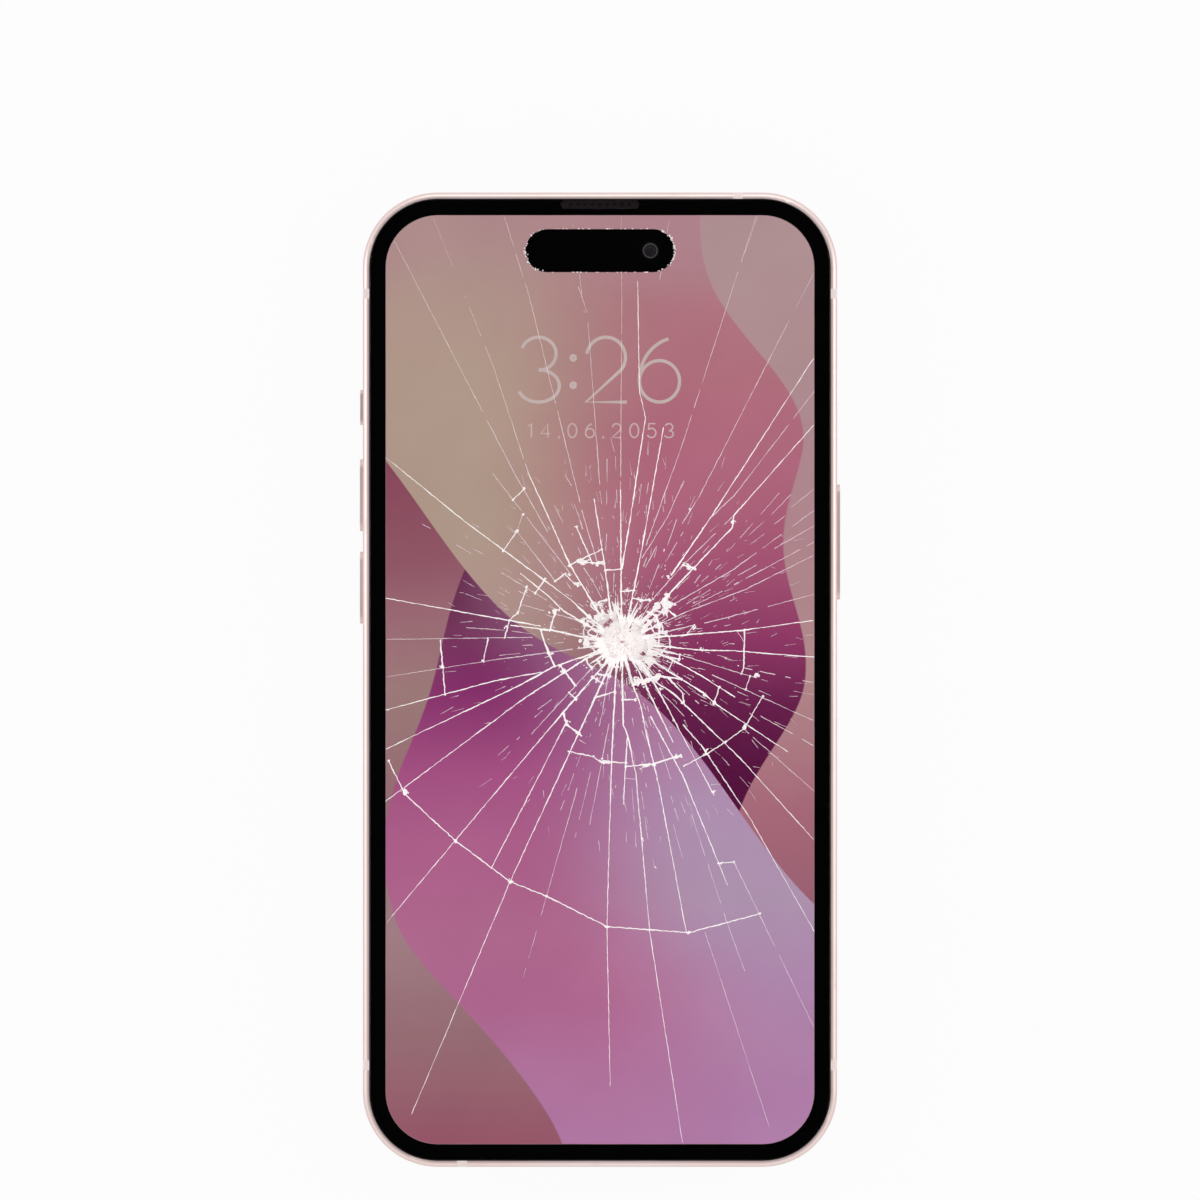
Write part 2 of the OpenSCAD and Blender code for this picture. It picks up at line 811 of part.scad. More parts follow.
module haptic_case() {
    color([0.72, 0.72, 0.74])
        box(haptic_x, bottom + wall_w + 6, z_mid - haptic_drop, haptic_box[0], haptic_box[1],
            mid_z - z_mid + haptic_drop);
}

module loudspeaker() {
    color([0.13, 0.13, 0.14])
        box(speaker_box_x, bottom + wall_w + corner_rise + slip, z_mid - speaker_drop,
            half_w - corner_r + corner_run - speaker_box_x, speaker_box_len, mid_z - z_mid + speaker_drop);
}

module speaker_mesh() {
    color([0.15, 0.15, 0.15])
        for (x = [speaker_x, mic_x])
            box(x - mesh_len / 2, bottom + wall_w + snug, z_mid - mesh_h / 2, mesh_len, mesh_t, mesh_h);
}

module port_ring(w, h, hole_w, hole_h, depth) {
    translate([0, bottom + 0.1, z_mid])
        rotate([-90, 0, 0])
            linear_extrude(depth)
                difference() {
                    stadium(w, h);
                    stadium(hole_w, hole_h);
                }
}

module port_shell() {
    color([0.75, 0.74, 0.74]) {
        port_ring(port_w + 2 * port_rim, port_h + 2 * port_rim, port_w, port_h, port_depth);
        translate([0, bottom + 0.1 + port_depth, z_mid])
            rotate([-90, 0, 0])
                linear_extrude(0.5)
                    stadium(port_w + 2 * port_rim, port_h + 2 * port_rim);
    }
}

module port_tongue() {
    color([0.05, 0.05, 0.05])
        box(-tongue[0] / 2, bottom + 1.5, z_mid - tongue[1] / 2, tongue[0], port_depth - 1.4, tongue[1]);
}

module port_flex() {
    color([0.55, 0.3, 0.1])
        box(-port_film[0] / 2, bottom + 0.1 + port_depth + 0.5 + snug, z_mid - film_t / 2,
            port_film[0], port_film[1], film_t);
}

module bottom_screws() {
    color([0.8, 0.76, 0.75])
        for (s = [-1, 1])
            difference() {
                translate([s * screw_x, bottom + screw_head_in, z_mid])
                    rotate([-90, 0, 0])
                        cylinder(d = screw_d, h = wall_w + 0.2);
                translate([s * screw_x, bottom, z_mid])
                    rotate([-90, 0, 0])
                        cylinder(d = socket_d, h = socket_deep, $fn = 5);
            }
}

module inner_screws() {
    color([0.6, 0.6, 0.62])
        for (p = board_posts())
            translate([p[0], p[1], board_z - post_head_t]) {
                cylinder(d = post_head_d, h = post_head_t);
                cylinder(d = post_screw_d, h = post_head_t + board_t);
            }
}

module charging_coil() {
    color([0.75, 0.42, 0.2])
        translate([coil_x, coil_y, back_top])
            difference() {
                cylinder(r = coil_r, h = coil_t);
                translate([0, 0, -1])
                    cylinder(r = coil_r * coil_eye, h = coil_t + 2);
            }
}

module coil_ferrite() {
    color([0.2, 0.2, 0.2])
        translate([coil_x, coil_y, back_top + coil_t])
            intersection() {
                cylinder(r = coil_r + 1, h = ferrite_t);
                translate([board_x0 + board_w + 1 - coil_x, -coil_r - 2, -1])
                    cube([2 * coil_r + 4, 2 * coil_r + 4, 3]);
            }
}

module antenna_flex() {
    color([0.3, 0.3, 0.3])
        box(corner_rise - half_w + corner_r, half_h - wall_w - slip - film_t, z_mid - antenna_drop,
            antenna_len, film_t, mid_z - z_mid + antenna_drop);
}

// A pressed button: its cap fills the slot in the band, and a wider foot holds it in
module side_press(s, y, len) {
    color([0.92, 0.85, 0.84]) {
        side_bar(s, y, len, button_w, button_proud, wall_w + snug);
        translate([-s * (wall_w + snug), 0, 0])
            side_bar(s, y, len + 2 * button_flange, button_w + 2 * button_flange, 0, flange_t);
    }
}

module volume_up_button() {
    side_press(-1, volume_up_y, volume_len);
}

module volume_down_button() {
    side_press(-1, volume_down_y, volume_len);
}

module side_button() {
    side_press(1, side_y, side_len);
}

module mute_switch() {
    color([0.92, 0.85, 0.84])
        translate([0, 0, -mute_travel / 2]) {
            side_bar(-1, mute_y, mute_len, mute_w, button_proud, wall_w + snug);
            box(-half_w + wall_w + snug, mute_y - mute_len / 2 - button_flange, z_mid - 1.8,
                flange_t, mute_len + 2 * button_flange, 3.6);
        }
}

module press_switch(s, y) {
    box(s > 0 ? half_w - wall_w - flange_t - snug - press_travel - 0.25 - 0.7
        : -half_w + wall_w + flange_t + snug + press_travel + 0.25, y - 2, z_mid - 1.3, 0.7, 4, mid_z - z_mid + 1.3);
}

module volume_switches() {
    color([0.75, 0.74, 0.72])
        for (y = [volume_up_y, volume_down_y])
            press_switch(-1, y);
}

module side_switch() {
    color([0.75, 0.74, 0.72])
        press_switch(1, side_y);
}

module mute_contact() {
    color([0.75, 0.74, 0.72])
        box(-half_w + wall_w + flange_t + snug + 0.2, mute_y - 2, z_mid - 1.3, 0.8, 4, mid_z - z_mid + 1.3);
}

module sim_tray() {
    color([0.92, 0.85, 0.84])
        difference() {
            union() {
                side_bar(-1, tray_y, tray_len, tray_w, 0, tray_plate_t, tray_z);
                box(-half_w + 0.5, tray_y - tray_body / 2, tray_z - tray_t / 2, tray_depth, tray_body, tray_t);
            }
            box(-half_w + wall_w + 1, tray_y - card_len / 2 - slip, tray_z - tray_t / 2 + 0.2,
                card_w + 2 * slip, card_len + 2 * slip, 2);
            translate([-half_w - 1, tray_y + tray_len / 2 - 1.3, tray_z])
                rotate([0, 90, 0])
                    cylinder(d = 0.9, h = 3);
        }
}

module sim_card() {
    color([0.9, 0.9, 0.86])
        box(-half_w + wall_w + 1 + slip, tray_y - card_len / 2, tray_z - tray_t / 2 + 0.2,
            card_w, card_len, card_t);
}

module sim_reader() {
    color([0.7, 0.7, 0.72])
        difference() {
            box(-half_w + wall_w + 0.8, tray_y - tray_body / 2 - 0.8, tray_z - tray_t / 2 - 0.9,
                tray_depth - wall_w + 0.7, tray_body + 1.6, mid_z - tray_z + tray_t / 2 + 0.9);
            box(-half_w, tray_y - tray_body / 2 - slip, tray_z - tray_t / 2 - slip,
                tray_depth + 0.7, tray_body + 2 * slip, tray_t + 2 * slip);
        }
}

module bottom_microphone() {
    color([0.2, 0.2, 0.2])
        box(mic_x - 2, bottom + wall_w + 0.6, z_mid - 1.2, 4, 3, mid_z - z_mid + 1.2);
}

frame();
antenna_breaks();
glass_bezel();
cover_glass();
border_mask();
display_panel();
display_backplate();
display_flex();
display_gasket();
earpiece_mesh();
earpiece_speaker();
front_camera();
front_camera_lens();
face_sensor();
sensor_bracket();
back_glass();
back_gasket();
lens_ring_main();
lens_ring_wide();
lens_cover_main();
lens_cover_wide();
camera_main();
camera_wide();
camera_bracket();
flash_lens();
rear_microphone();
logic_board();
board_shield_front();
board_shield_back();
connector_cover();
battery();
battery_adhesive();
battery_flex();
haptic_case();
loudspeaker();
speaker_mesh();
port_shell();
port_tongue();
port_flex();
bottom_screws();
inner_screws();
charging_coil();
coil_ferrite();
antenna_flex();
volume_up_button();
volume_down_button();
side_button();
mute_switch();
volume_switches();
side_switch();
mute_contact();
sim_tray();
sim_card();
sim_reader();
bottom_microphone();
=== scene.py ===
"""Looks of a phone with a shattered screen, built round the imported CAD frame.

The phone lies on its back: +X to its right, +Y to its top edge, +Z out of the screen. Lengths are
in metres. They are in millimetres where a name ends in _mm, in the tables, in the materials, and
where a place on the glass is given by an angle and a distance from the blow.
"""
import json
import math
import random

import bpy
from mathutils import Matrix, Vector


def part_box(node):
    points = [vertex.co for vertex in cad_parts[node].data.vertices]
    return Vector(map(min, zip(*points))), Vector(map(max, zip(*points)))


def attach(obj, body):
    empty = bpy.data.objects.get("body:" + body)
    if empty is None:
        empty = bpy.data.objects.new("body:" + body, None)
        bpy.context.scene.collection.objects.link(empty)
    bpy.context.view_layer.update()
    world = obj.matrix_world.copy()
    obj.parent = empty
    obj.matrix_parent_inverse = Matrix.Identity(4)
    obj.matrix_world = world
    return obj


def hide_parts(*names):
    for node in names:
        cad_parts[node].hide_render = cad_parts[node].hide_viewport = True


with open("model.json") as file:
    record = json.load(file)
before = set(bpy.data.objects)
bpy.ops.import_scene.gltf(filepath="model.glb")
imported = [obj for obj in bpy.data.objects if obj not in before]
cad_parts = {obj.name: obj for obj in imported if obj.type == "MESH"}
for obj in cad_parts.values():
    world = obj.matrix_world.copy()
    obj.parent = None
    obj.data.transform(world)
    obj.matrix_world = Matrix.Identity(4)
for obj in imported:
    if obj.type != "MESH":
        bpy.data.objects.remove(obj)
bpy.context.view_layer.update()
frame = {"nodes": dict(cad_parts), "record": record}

MM = 0.001
SEED = 20
NODES = frame["nodes"]

# ---- places taken from the frame ----
GLASS_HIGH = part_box("cover_glass")[1]
SCREEN_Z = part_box("display_panel")[1].z     # lit face of the display
GLASS_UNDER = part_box("border_mask")[1].z    # underside of the cover glass
GLASS_TOP = GLASS_HIGH.z                    # outer face of the cover glass
BORDER = 2.25 * MM                          # black border between the glass edge and the picture
LIT_W = GLASS_HIGH.x - BORDER               # half width of the picture
LIT_H = GLASS_HIGH.y - BORDER               # half height of the picture
LIT_R = 7.85 * MM                           # corner radius of the picture

# ---- the blow that broke the glass ----
BLOW = Vector((3.3 * MM, 5.7 * MM))
PIT_R = 4.4 * MM                            # radius of the crushed pit
PIT_DEPTH = 0.3 * MM
WIDE = 0.26 * MM                            # width of an open crack
FINE = 0.14 * MM                            # width of a fine crack
HAIR = 0.07 * MM                            # width of a hairline that stays inside the glass
SKIN = 0.01 * MM                            # how far a mark lies under the face of the glass
MARK_TOP = GLASS_TOP - SKIN                 # how high the marks in the glass reach
LAYER = 0.001 * MM                          # step between shapes that would otherwise lie flush
LAYERS = 53                                 # steps before the layers start again from the top
EDGE_MM = 0.25                              # how soft the edges of the wallpaper's fields are
NEAR_MM = 10                                # rays that start nearer than this run into the core
CRACK_STEP = 0.4 * MM                       # how far apart a crack's points are
CROSSWISE = 1.57                            # a turn that lays a crumb along the camera window
RADIAN = 57.3                               # degrees in a radian, near enough

# ---- how many small marks are tried at random places ----
DASHES = 800
CHIPS = 520
SPIKES = 150
SPLINTERS = 1700

# ---- the black camera window ----
PILL_LEN = 22.5 * MM
PILL_W = 6.5 * MM
FRONT_LENS_LOW, FRONT_LENS_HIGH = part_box("front_camera_lens")
FRONT_LENS = ((FRONT_LENS_LOW + FRONT_LENS_HIGH) / 2).xy
PILL = Vector((0, FRONT_LENS.y))

# ---- a small kit for node materials ----

def srgb(red, green, blue):
    """An 8-bit display colour as the linear colour that shader sockets take."""
    linear = []
    for value in (red, green, blue):
        c = value / 255
        linear.append(c / 12.92 if c <= 0.04045 else ((c + 0.055) / 1.055) ** 2.4)
    return (*linear, 1.0)


class Tree:
    """A node tree, with short methods for the nodes that any surface or sky here uses."""

    def __init__(self, tree):
        self.tree = tree

    def add(self, kind, **settings):
        node = self.tree.nodes.new(kind)
        for key, value in settings.items():
            setattr(node, key, value)
        return node

    def feed(self, socket, value):
        """Links a node output to a socket, or sets the socket to a plain value."""
        if isinstance(value, bpy.types.NodeSocket):
            self.tree.links.new(value, socket)
        else:
            socket.default_value = value

    def made(self, kind, inputs, output=0, **settings):
        """The output of a new node whose inputs, by name or number, are fed with these values."""
        node = self.add(kind, **settings)
        for key, value in inputs.items():
            self.feed(node.inputs[key], value)
        return node.outputs[output]

    def math(self, operation, first, second=0.0):
        return self.made("ShaderNodeMath", {0: first, 1: second}, operation=operation)

    def plus(self, first, second):
        return self.math("ADD", first, second)

    def minus(self, first, second):
        return self.math("SUBTRACT", first, second)

    def times(self, first, second):
        return self.math("MULTIPLY", first, second)

    def ramp(self, value, stops):
        """Colours by value: stops is a list of (position, linear colour)."""
        node = self.add("ShaderNodeValToRGB")
        elements = node.color_ramp.elements
        while len(elements) < len(stops):
            elements.new(0.5)
        for element, (position, colour) in zip(elements, stops):
            element.position = position
            element.color = colour
        self.feed(node.inputs[0], value)
        return node.outputs["Color"]

    def blend(self, amount, first, second):
        """Passes from one surface or sky to another."""
        return self.made("ShaderNodeMixShader", {0: amount, 1: first, 2: second})


class Shader(Tree):
    """One material, with short methods for what the finishes below use."""

    def __init__(self, name, **surface):
        self.material = bpy.data.materials.new(name)
        self.material.use_nodes = True
        super().__init__(self.material.node_tree)
        self.bsdf = self.tree.nodes["Principled BSDF"]
        self.place = self.add("ShaderNodeTexCoord").outputs["Object"]
        for socket, value in surface.items():
            self.bsdf.inputs[socket.replace("_", " ")].default_value = value

    def surface(self, shader):
        self.feed(self.tree.nodes["Material Output"].inputs["Surface"], shader)

    def axes(self):
        """The place on the object in millimetres, as three numbers."""
        scaled = self.made("ShaderNodeVectorMath", {0: self.place, "Scale": 1000.0}, operation="SCALE")
        split = self.add("ShaderNodeSeparateXYZ")
        self.feed(split.inputs[0], scaled)
        return split.outputs

    def stretched(self, scale, turn=(0.0, 0.0, 0.0)):
        """The place on the object, turned and scaled by axis, for grain that runs one way."""
        return self.made("ShaderNodeMapping", {"Vector": self.place, "Rotation": turn, "Scale": scale})

    def noise(self, size_mm, detail=3.0, rough=0.55, where=None, distortion=0.0):
        """Smooth noise whose lumps are about size_mm across."""
        inputs = {"Vector": where or self.place, "Scale": 1 / (size_mm * MM), "Detail": detail,
                  "Roughness": rough, "Distortion": distortion}
        return self.made("ShaderNodeTexNoise", inputs, "Fac")

    def cells(self, size_mm, feature="F1"):
        inputs = {"Vector": self.place, "Scale": 1 / (size_mm * MM)}
        return self.made("ShaderNodeTexVoronoi", inputs, "Distance", feature=feature)

    def span(self, value, low, high, out_low=0.0, out_high=1.0, shape="SMOOTHSTEP"):
        """Maps low..high of value to out_low..out_high and holds it outside that."""
        inputs = {"Value": value, "From Min": low, "From Max": high, "To Min": out_low, "To Max": out_high}
        return self.made("ShaderNodeMapRange", inputs, "Result", interpolation_type=shape)

    def mix(self, amount, first, second, how="MIX"):
        inputs = {"Factor": amount, 6: first, 7: second}
        return self.made("ShaderNodeMix", inputs, 2, data_type="RGBA", blend_type=how)

    def mottle(self, noise, dark, light):
        """Two display colours, the first where the noise is low and the second where it is high."""
        return self.ramp(noise, [(0.3, srgb(*dark)), (0.7, srgb(*light))])

    def tint(self, base, colour, mask, share):
        """Mixes a share of a display colour into a colour where the mask is high."""
        return self.mix(self.times(mask, share), base, srgb(*colour))

    def glow(self, value):
        self.feed(self.bsdf.inputs["Emission Color"], value)

    def colour(self, value):
        self.feed(self.bsdf.inputs["Base Color"], value)

    def roughness(self, value):
        self.feed(self.bsdf.inputs["Roughness"], value)

    def patchy(self, noise, low, high):
        """Roughness from low to high, in patches."""
        self.roughness(self.span(noise, 0.3, 0.7, low, high))

    def bump(self, height, depth_mm, strength=1.0):
        """Adds relief depth_mm deep on top of any relief added before."""
        inputs = {"Strength": strength, "Distance": depth_mm * MM, "Height": height}
        normal = self.bsdf.inputs["Normal"]
        if normal.links:
            inputs["Normal"] = normal.links[0].from_socket
        self.feed(normal, self.made("ShaderNodeBump", inputs, "Normal"))

    def dust(self, base, amount=0.5, grain_mm=0.5, tint=(200, 190, 186)):
        """Mixes pale dust in patches into a colour."""
        patches = self.span(self.noise(9, 4), 0.48, 0.72)
        grains = self.span(self.noise(grain_mm, 5, 0.7), 0.5, 0.75)
        return self.tint(base, tint, self.times(patches, grains), amount)


def finish(node_names, material):
    """Gives a material to CAD nodes."""
    for name in node_names:
        mesh = NODES[name].data
        mesh.materials.clear()
        mesh.materials.append(material)

# ---- finishes, one for each material slot ----

def scratches(s, long_mm, thin_mm, share):
    """A mask of fine scratches in two crossing directions."""
    masks = []
    for turn in (0.5, -0.9):
        lines = s.stretched((1 / long_mm, 1 / thin_mm, 1 / thin_mm), (turn, turn * 0.7, turn * 1.4))
        masks.append(s.span(s.noise(1, 2, 0.5, lines), 1 - share, 1.04 - share))
    return s.math("MAXIMUM", *masks)


def make_band_metal(name="band_metal", duller=0.0):
    """Satin anodised aluminium, pale pink, with bead-blast grain, rubbed patches and hairline scuffs."""
    s = Shader(name, Metallic=1.0)
    drift = s.noise(22, 3)
    pink = s.mottle(drift, (236, 212, 208), (242, 222, 219))
    scuff = scratches(s, 9, 0.12, 0.3)
    rubbed = s.span(s.noise(7, 5, 0.65), 0.6, 0.75)
    pink = s.tint(pink, (226, 200, 196), rubbed, 0.35)
    pink = s.tint(pink, (252, 240, 238), scuff, 0.5)
    s.colour(s.dust(pink, 0.2))
    grain = s.noise(0.07, 2, 0.6)
    rough = s.span(drift, 0.2, 0.8, 0.27 + duller, 0.35 + duller)
    rough = s.plus(rough, s.times(rubbed, 0.08))
    s.roughness(s.minus(rough, s.times(scuff, 0.06)))
    s.bump(grain, 0.006, 0.6)
    s.bump(scuff, 0.01, 0.4)
    return s.material


def make_black_ink():
    """Gloss black ink on the underside of the glass, with faint unevenness and pinholes."""
    s = Shader("black_ink", IOR=1.3, Specular_IOR_Level=0.1)
    tone = s.ramp(s.noise(5, 3), [(0.3, srgb(1, 0, 0)), (0.75, srgb(6, 4, 5))])
    specks = s.span(s.cells(2.2), 0.0, 0.035, 1.0, 0.0)
    s.colour(s.tint(tone, (40, 30, 34), specks, 0.5))
    s.patchy(s.noise(1.5, 3), 0.32, 0.45)
    s.bump(s.noise(0.9, 3), 0.004, 0.3)
    return s.material


def make_cover_glass():
    """Clear glass that lets lamps through, with smears, grease and fine scratches on its face."""
    s = Shader("cover_glass", Transmission_Weight=1.0, IOR=1.24)
    s.colour(s.mottle(s.noise(14, 3), (250, 247, 249), (255, 255, 255)))
    smear = s.span(s.noise(11, 4, 0.6, s.stretched((1.0, 0.45, 1.0)), 1.2), 0.52, 0.7)
    fine = scratches(s, 12, 0.09, 0.27)
    rough = s.plus(s.times(smear, 0.03), s.times(fine, 0.06))
    s.roughness(s.plus(rough, 0.012))
    s.bump(fine, 0.003, 0.4)
    shadow = s.add("ShaderNodeLightPath").outputs["Is Shadow Ray"]
    clear = s.add("ShaderNodeBsdfTransparent").outputs[0]
    s.surface(s.blend(shadow, s.bsdf.outputs[0], clear))
    return s.material


def make_rear_glass():
    """Colour-infused back glass: frosted pink, with cloudy depth, smears and hairline scratches."""
    s = Shader("rear_glass", IOR=1.5, Coat_Weight=0.25, Coat_Roughness=0.35)
    pink = s.mottle(s.noise(26, 4, 0.5), (236, 208, 206), (240, 214, 212))
    smear = s.span(s.noise(15, 5, 0.6, s.stretched((1.0, 0.4, 1.0)), 1.5), 0.5, 0.72)
    pink = s.tint(pink, (226, 196, 194), smear, 0.15)
    scuff = scratches(s, 16, 0.1, 0.28)
    pink = s.tint(pink, (252, 240, 238), scuff, 0.45)
    s.colour(s.dust(pink, 0.35))
    rough = s.minus(0.46, s.times(smear, 0.16))
    s.roughness(s.minus(rough, s.times(scuff, 0.1)))
    s.bump(s.noise(0.12, 3), 0.003, 0.4)
    s.bump(scuff, 0.006, 0.4)
    return s.material


def make_lens_glass():
    """Coated lens glass: almost black, with a faint violet painted sheen that stands for the coating's
    coloured reflection, and a dry haze.
    """
    s = Shader("lens_glass", IOR=1.52, Coat_Weight=0.6, Coat_Roughness=0.04)
    # painted reflection: the violet in this colour stands for the reflection of the lens coating
    tone = s.mottle(s.noise(3.5, 3), (9, 8, 12), (24, 18, 32))
    s.colour(s.dust(tone, 0.15, 0.2, (120, 118, 128)))
    s.roughness(s.span(s.noise(2.2, 4), 0.35, 0.7, 0.05, 0.14))
    s.bump(s.noise(1.1, 3), 0.002, 0.3)
    return s.material


def make_flash_plastic():
    """Milky flash lens with concentric moulded rings."""
    s = Shader("flash_plastic", IOR=1.5, Subsurface_Weight=0.2, Subsurface_Scale=0.001)
    low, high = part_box("flash_lens")
    x, y, _ = s.axes()
    across = s.minus(x, (low.x + high.x) / 2 / MM)
    along = s.minus(y, (low.y + high.y) / 2 / MM)
    radius = s.math("SQRT", s.plus(s.times(across, across), s.times(along, along)))
    tone = s.mix(s.span(radius, 0.4, 1.5), srgb(250, 226, 150), srgb(244, 240, 226))
    s.colour(s.dust(tone, 0.3, 0.2, (190, 184, 170)))
    s.patchy(s.noise(0.5, 3), 0.2, 0.32)
    s.bump(s.math("SINE", s.times(radius, 16.0)), 0.03, 0.6)
    return s.material


def make_sheet_metal(name, light, dark, rough):
    """Bare pressed or plated metal with drawn grain, handling marks and dull patches."""
    s = Shader(name, Metallic=1.0)
    grain = s.noise(1, 4, 0.7, s.stretched((120.0, 2500.0, 2500.0)))
    patches = s.noise(4, 4)
    tone = s.mix(grain, srgb(*dark), srgb(*light))
    s.colour(s.dust(s.tint(tone, dark, patches, 0.4), 0.3, 0.3))
    s.patchy(patches, rough - 0.06, rough + 0.1)
    s.bump(grain, 0.01, 0.5)
    return s.material


def make_mesh_metal():
    """Dark painted mesh, dusty between its holes, with painted shade that makes the holes near black."""
    s = Shader("dark_mesh", IOR=1.35, Specular_IOR_Level=0.2)
    # painted shade: the middles of the cells, where the holes are, get a darker colour than the wire between
    # them
    weave = s.cells(0.16)
    tone = s.mix(s.span(weave, 0.2, 0.5), srgb(5, 3, 4), srgb(30, 21, 25))
    s.colour(s.dust(tone, 0.3, 0.2, (120, 108, 106)))
    s.patchy(s.noise(0.8, 3), 0.4, 0.6)
    s.bump(weave, 0.05, 0.8)
    return s.material


def make_film(name, light, dark, rough=0.5, line_mm=0.35):
    """Thin printed film: fine traces that run along it, and slight creasing."""
    s = Shader(name, IOR=1.5)
    x, y, _ = s.axes()
    traces = s.math("SINE", s.times(s.plus(x, y), 2 * math.pi / line_mm))
    s.colour(s.dust(s.mix(s.span(traces, -0.2, 0.5), srgb(*dark), srgb(*light)), 0.25, 0.3))
    s.patchy(s.noise(2, 4), rough - 0.08, rough + 0.1)
    s.bump(s.noise(1.6, 4), 0.03, 0.5)
    return s.material


def make_board_resin():
    """Circuit board under solder mask, with a weave that shows through and pale pads."""
    s = Shader("board_resin", IOR=1.5)
    weave = s.cells(0.5, "SMOOTH_F1")
    tone = s.mix(weave, srgb(14, 44, 36), srgb(26, 78, 58))
    pads = s.span(s.cells(1.3), 0.0, 0.16, 1.0, 0.0)
    s.colour(s.tint(tone, (205, 180, 120), pads, 0.8))
    s.patchy(s.noise(1.5, 4), 0.3, 0.45)
    s.bump(weave, 0.03, 0.5)
    return s.material


def make_plain(name, tone, colours, dust, patches, relief, **surface):
    """A moulding or coating: mottled and dusty, unevenly rough, with fine relief.

    Tone and relief[0] say what noise they take. Patches gives a size and a detail of noise, then
    the lowest and highest roughness. Dust gives an amount, a grain and perhaps a colour.
    """
    s = Shader(name, **surface)
    s.colour(s.dust(s.mottle(s.noise(*tone), *colours), *dust))
    size_mm, detail, low, high = patches
    s.patchy(s.noise(size_mm, detail), low, high)
    grain, depth_mm, strength = relief
    s.bump(s.noise(*grain), depth_mm, strength)
    return s.material


def make_matt_sheet(name, light, dark, grain_mm, rough, relief_mm):
    """A plain matt sheet or moulding with grain, mottling and dust."""
    patches = (grain_mm * 2, 4, rough - 0.08, rough + 0.08)
    relief = ((grain_mm, 4, 0.65), relief_mm, 0.6)
    return make_plain(name, (grain_mm * 6, 5, 0.6), (dark, light), (0.25, 0.3), patches, relief, IOR=1.45)


# ---- the lit picture: a plain wallpaper of soft waves ----

def make_lit_panel():
    """The lit display. Each field of the wallpaper is a wash of colour with a wavy edge."""
    s = Shader("lit_panel", IOR=1.3, Roughness=0.4, Specular_IOR_Level=0.1, Emission_Strength=1.0)
    x, y, _ = s.axes()

    def wave(along, size_mm, length_mm, shift=0.0):
        angle = s.plus(s.times(along, 2 * math.pi / length_mm), shift)
        return s.times(s.math("SINE", angle), size_mm)

    def wash(value, low, high, colours):
        """Colours spread evenly from low to high."""
        step = 1 / (len(colours) - 1)
        stops = [(place * step, srgb(*colour)) for place, colour in enumerate(colours)]
        return s.ramp(s.span(value, low, high, shape="LINEAR"), stops)

    drift = s.plus(wave(y, 3.0, 74.0, 0.6), s.times(s.noise(30, 2), 5.0))
    lean = s.times(s.span(y, 8, 40, -7, 0), s.span(y, -5, 7))
    sideways = s.plus(x, s.plus(drift, lean))

    # the outer field: grey rose at the top, mauve at the left, rose brown at the right
    left = wash(y, -72, 50, [(152, 84, 104), (153, 110, 117), (158, 126, 130), (152, 108, 116),
                             (158, 124, 122), (148, 92, 106), (138, 72, 92), (160, 120, 120)])
    right = wash(y, -40, 62, [(150, 92, 110), (168, 106, 122), (178, 138, 139), (178, 136, 142),
                              (176, 142, 146), (177, 146, 148)])
    picture = s.mix(s.span(x, -14, 14), left, right)

    # the upper field: tan at the left, rose at the right, sinking to plum at the lower right
    tan = wash(y, 2, 70, [(178, 150, 140), (178, 156, 139), (178, 154, 139), (178, 146, 142)])
    rose = wash(y, -34, 66, [(78, 5, 53), (80, 8, 55), (84, 12, 60), (102, 28, 74), (141, 54, 100),
                             (164, 82, 115), (174, 96, 121), (177, 104, 124), (178, 112, 126),
                             (178, 118, 129), (177, 132, 140)])
    upper = s.mix(s.span(sideways, -20, 13), tan, rose)
    shore = s.plus(s.times(x, -0.94), wave(x, 3.6, 47.0, 0.4))
    above = s.minus(y, shore)
    bank = s.plus(s.span(y, 34, 74, 29.5, 14), wave(y, 1.7, 37.0, 1.2))
    bank = s.minus(bank, s.span(y, -38, 0, 13, 0))
    upper_mask = s.times(s.span(above, 0, EDGE_MM), s.span(s.minus(bank, x), 0, EDGE_MM))
    top_band = s.span(s.minus(s.plus(y, wave(x, 3.0, 60.0)), 58), 0, 7)
    upper = s.tint(upper, (177, 136, 143), top_band, 0.35)
    picture = s.mix(upper_mask, picture, upper)

    # the lower field: dark plum under the shore, orchid below it, lavender at the right
    orchid = wash(y, -72, 22, [(178, 122, 166), (178, 116, 158), (177, 104, 145), (176, 100, 142),
                               (175, 97, 140), (165, 80, 131), (134, 46, 107), (92, 8, 66),
                               (84, 2, 58)])
    lavender = wash(y, -62, -4, [(178, 128, 172), (177, 136, 176), (176, 149, 177), (176, 144, 178),
                                 (177, 122, 160)])
    slope = s.plus(x, s.times(y, 0.32))
    lower = s.mix(s.span(s.plus(slope, wave(y, 2.0, 40.0)), -20, 11), orchid, lavender)
    cove = s.plus(s.span(y, -16, 26, -31, -17), wave(y, 1.8, 41.0, 2.4))
    inside_cove = s.minus(s.minus(x, cove), s.span(y, -72, -36, 27, 0))
    lower_mask = s.times(s.span(above, 0, EDGE_MM, 1, 0), s.span(inside_cove, 0, EDGE_MM))
    picture = s.mix(lower_mask, picture, lower)

    # two long swells of light that cross the fields
    for height, length, tilt, shift in ((20, 88, 0.35, 0.2), (-44, 70, -0.25, 2.0)):
        line = s.plus(s.times(x, tilt), wave(x, 4.0, length, shift))
        gap = s.math("ABSOLUTE", s.minus(s.minus(y, line), height))
        picture = s.tint(picture, (196, 140, 160), s.span(gap, 0, 13, 1, 0), 0.1)

    # a little unevenness of the backlight
    uneven = s.span(s.noise(18, 3), 0.3, 0.7, 0.965, 1.0)
    shade = s.made("ShaderNodeCombineColor", {0: uneven, 1: uneven, 2: uneven})
    s.glow(s.mix(1.0, picture, shade, "MULTIPLY"))
    s.colour(s.mottle(s.noise(6, 2), (8, 4, 7), (14, 8, 12)))
    s.patchy(s.noise(3, 3), 0.35, 0.45)
    return s.material


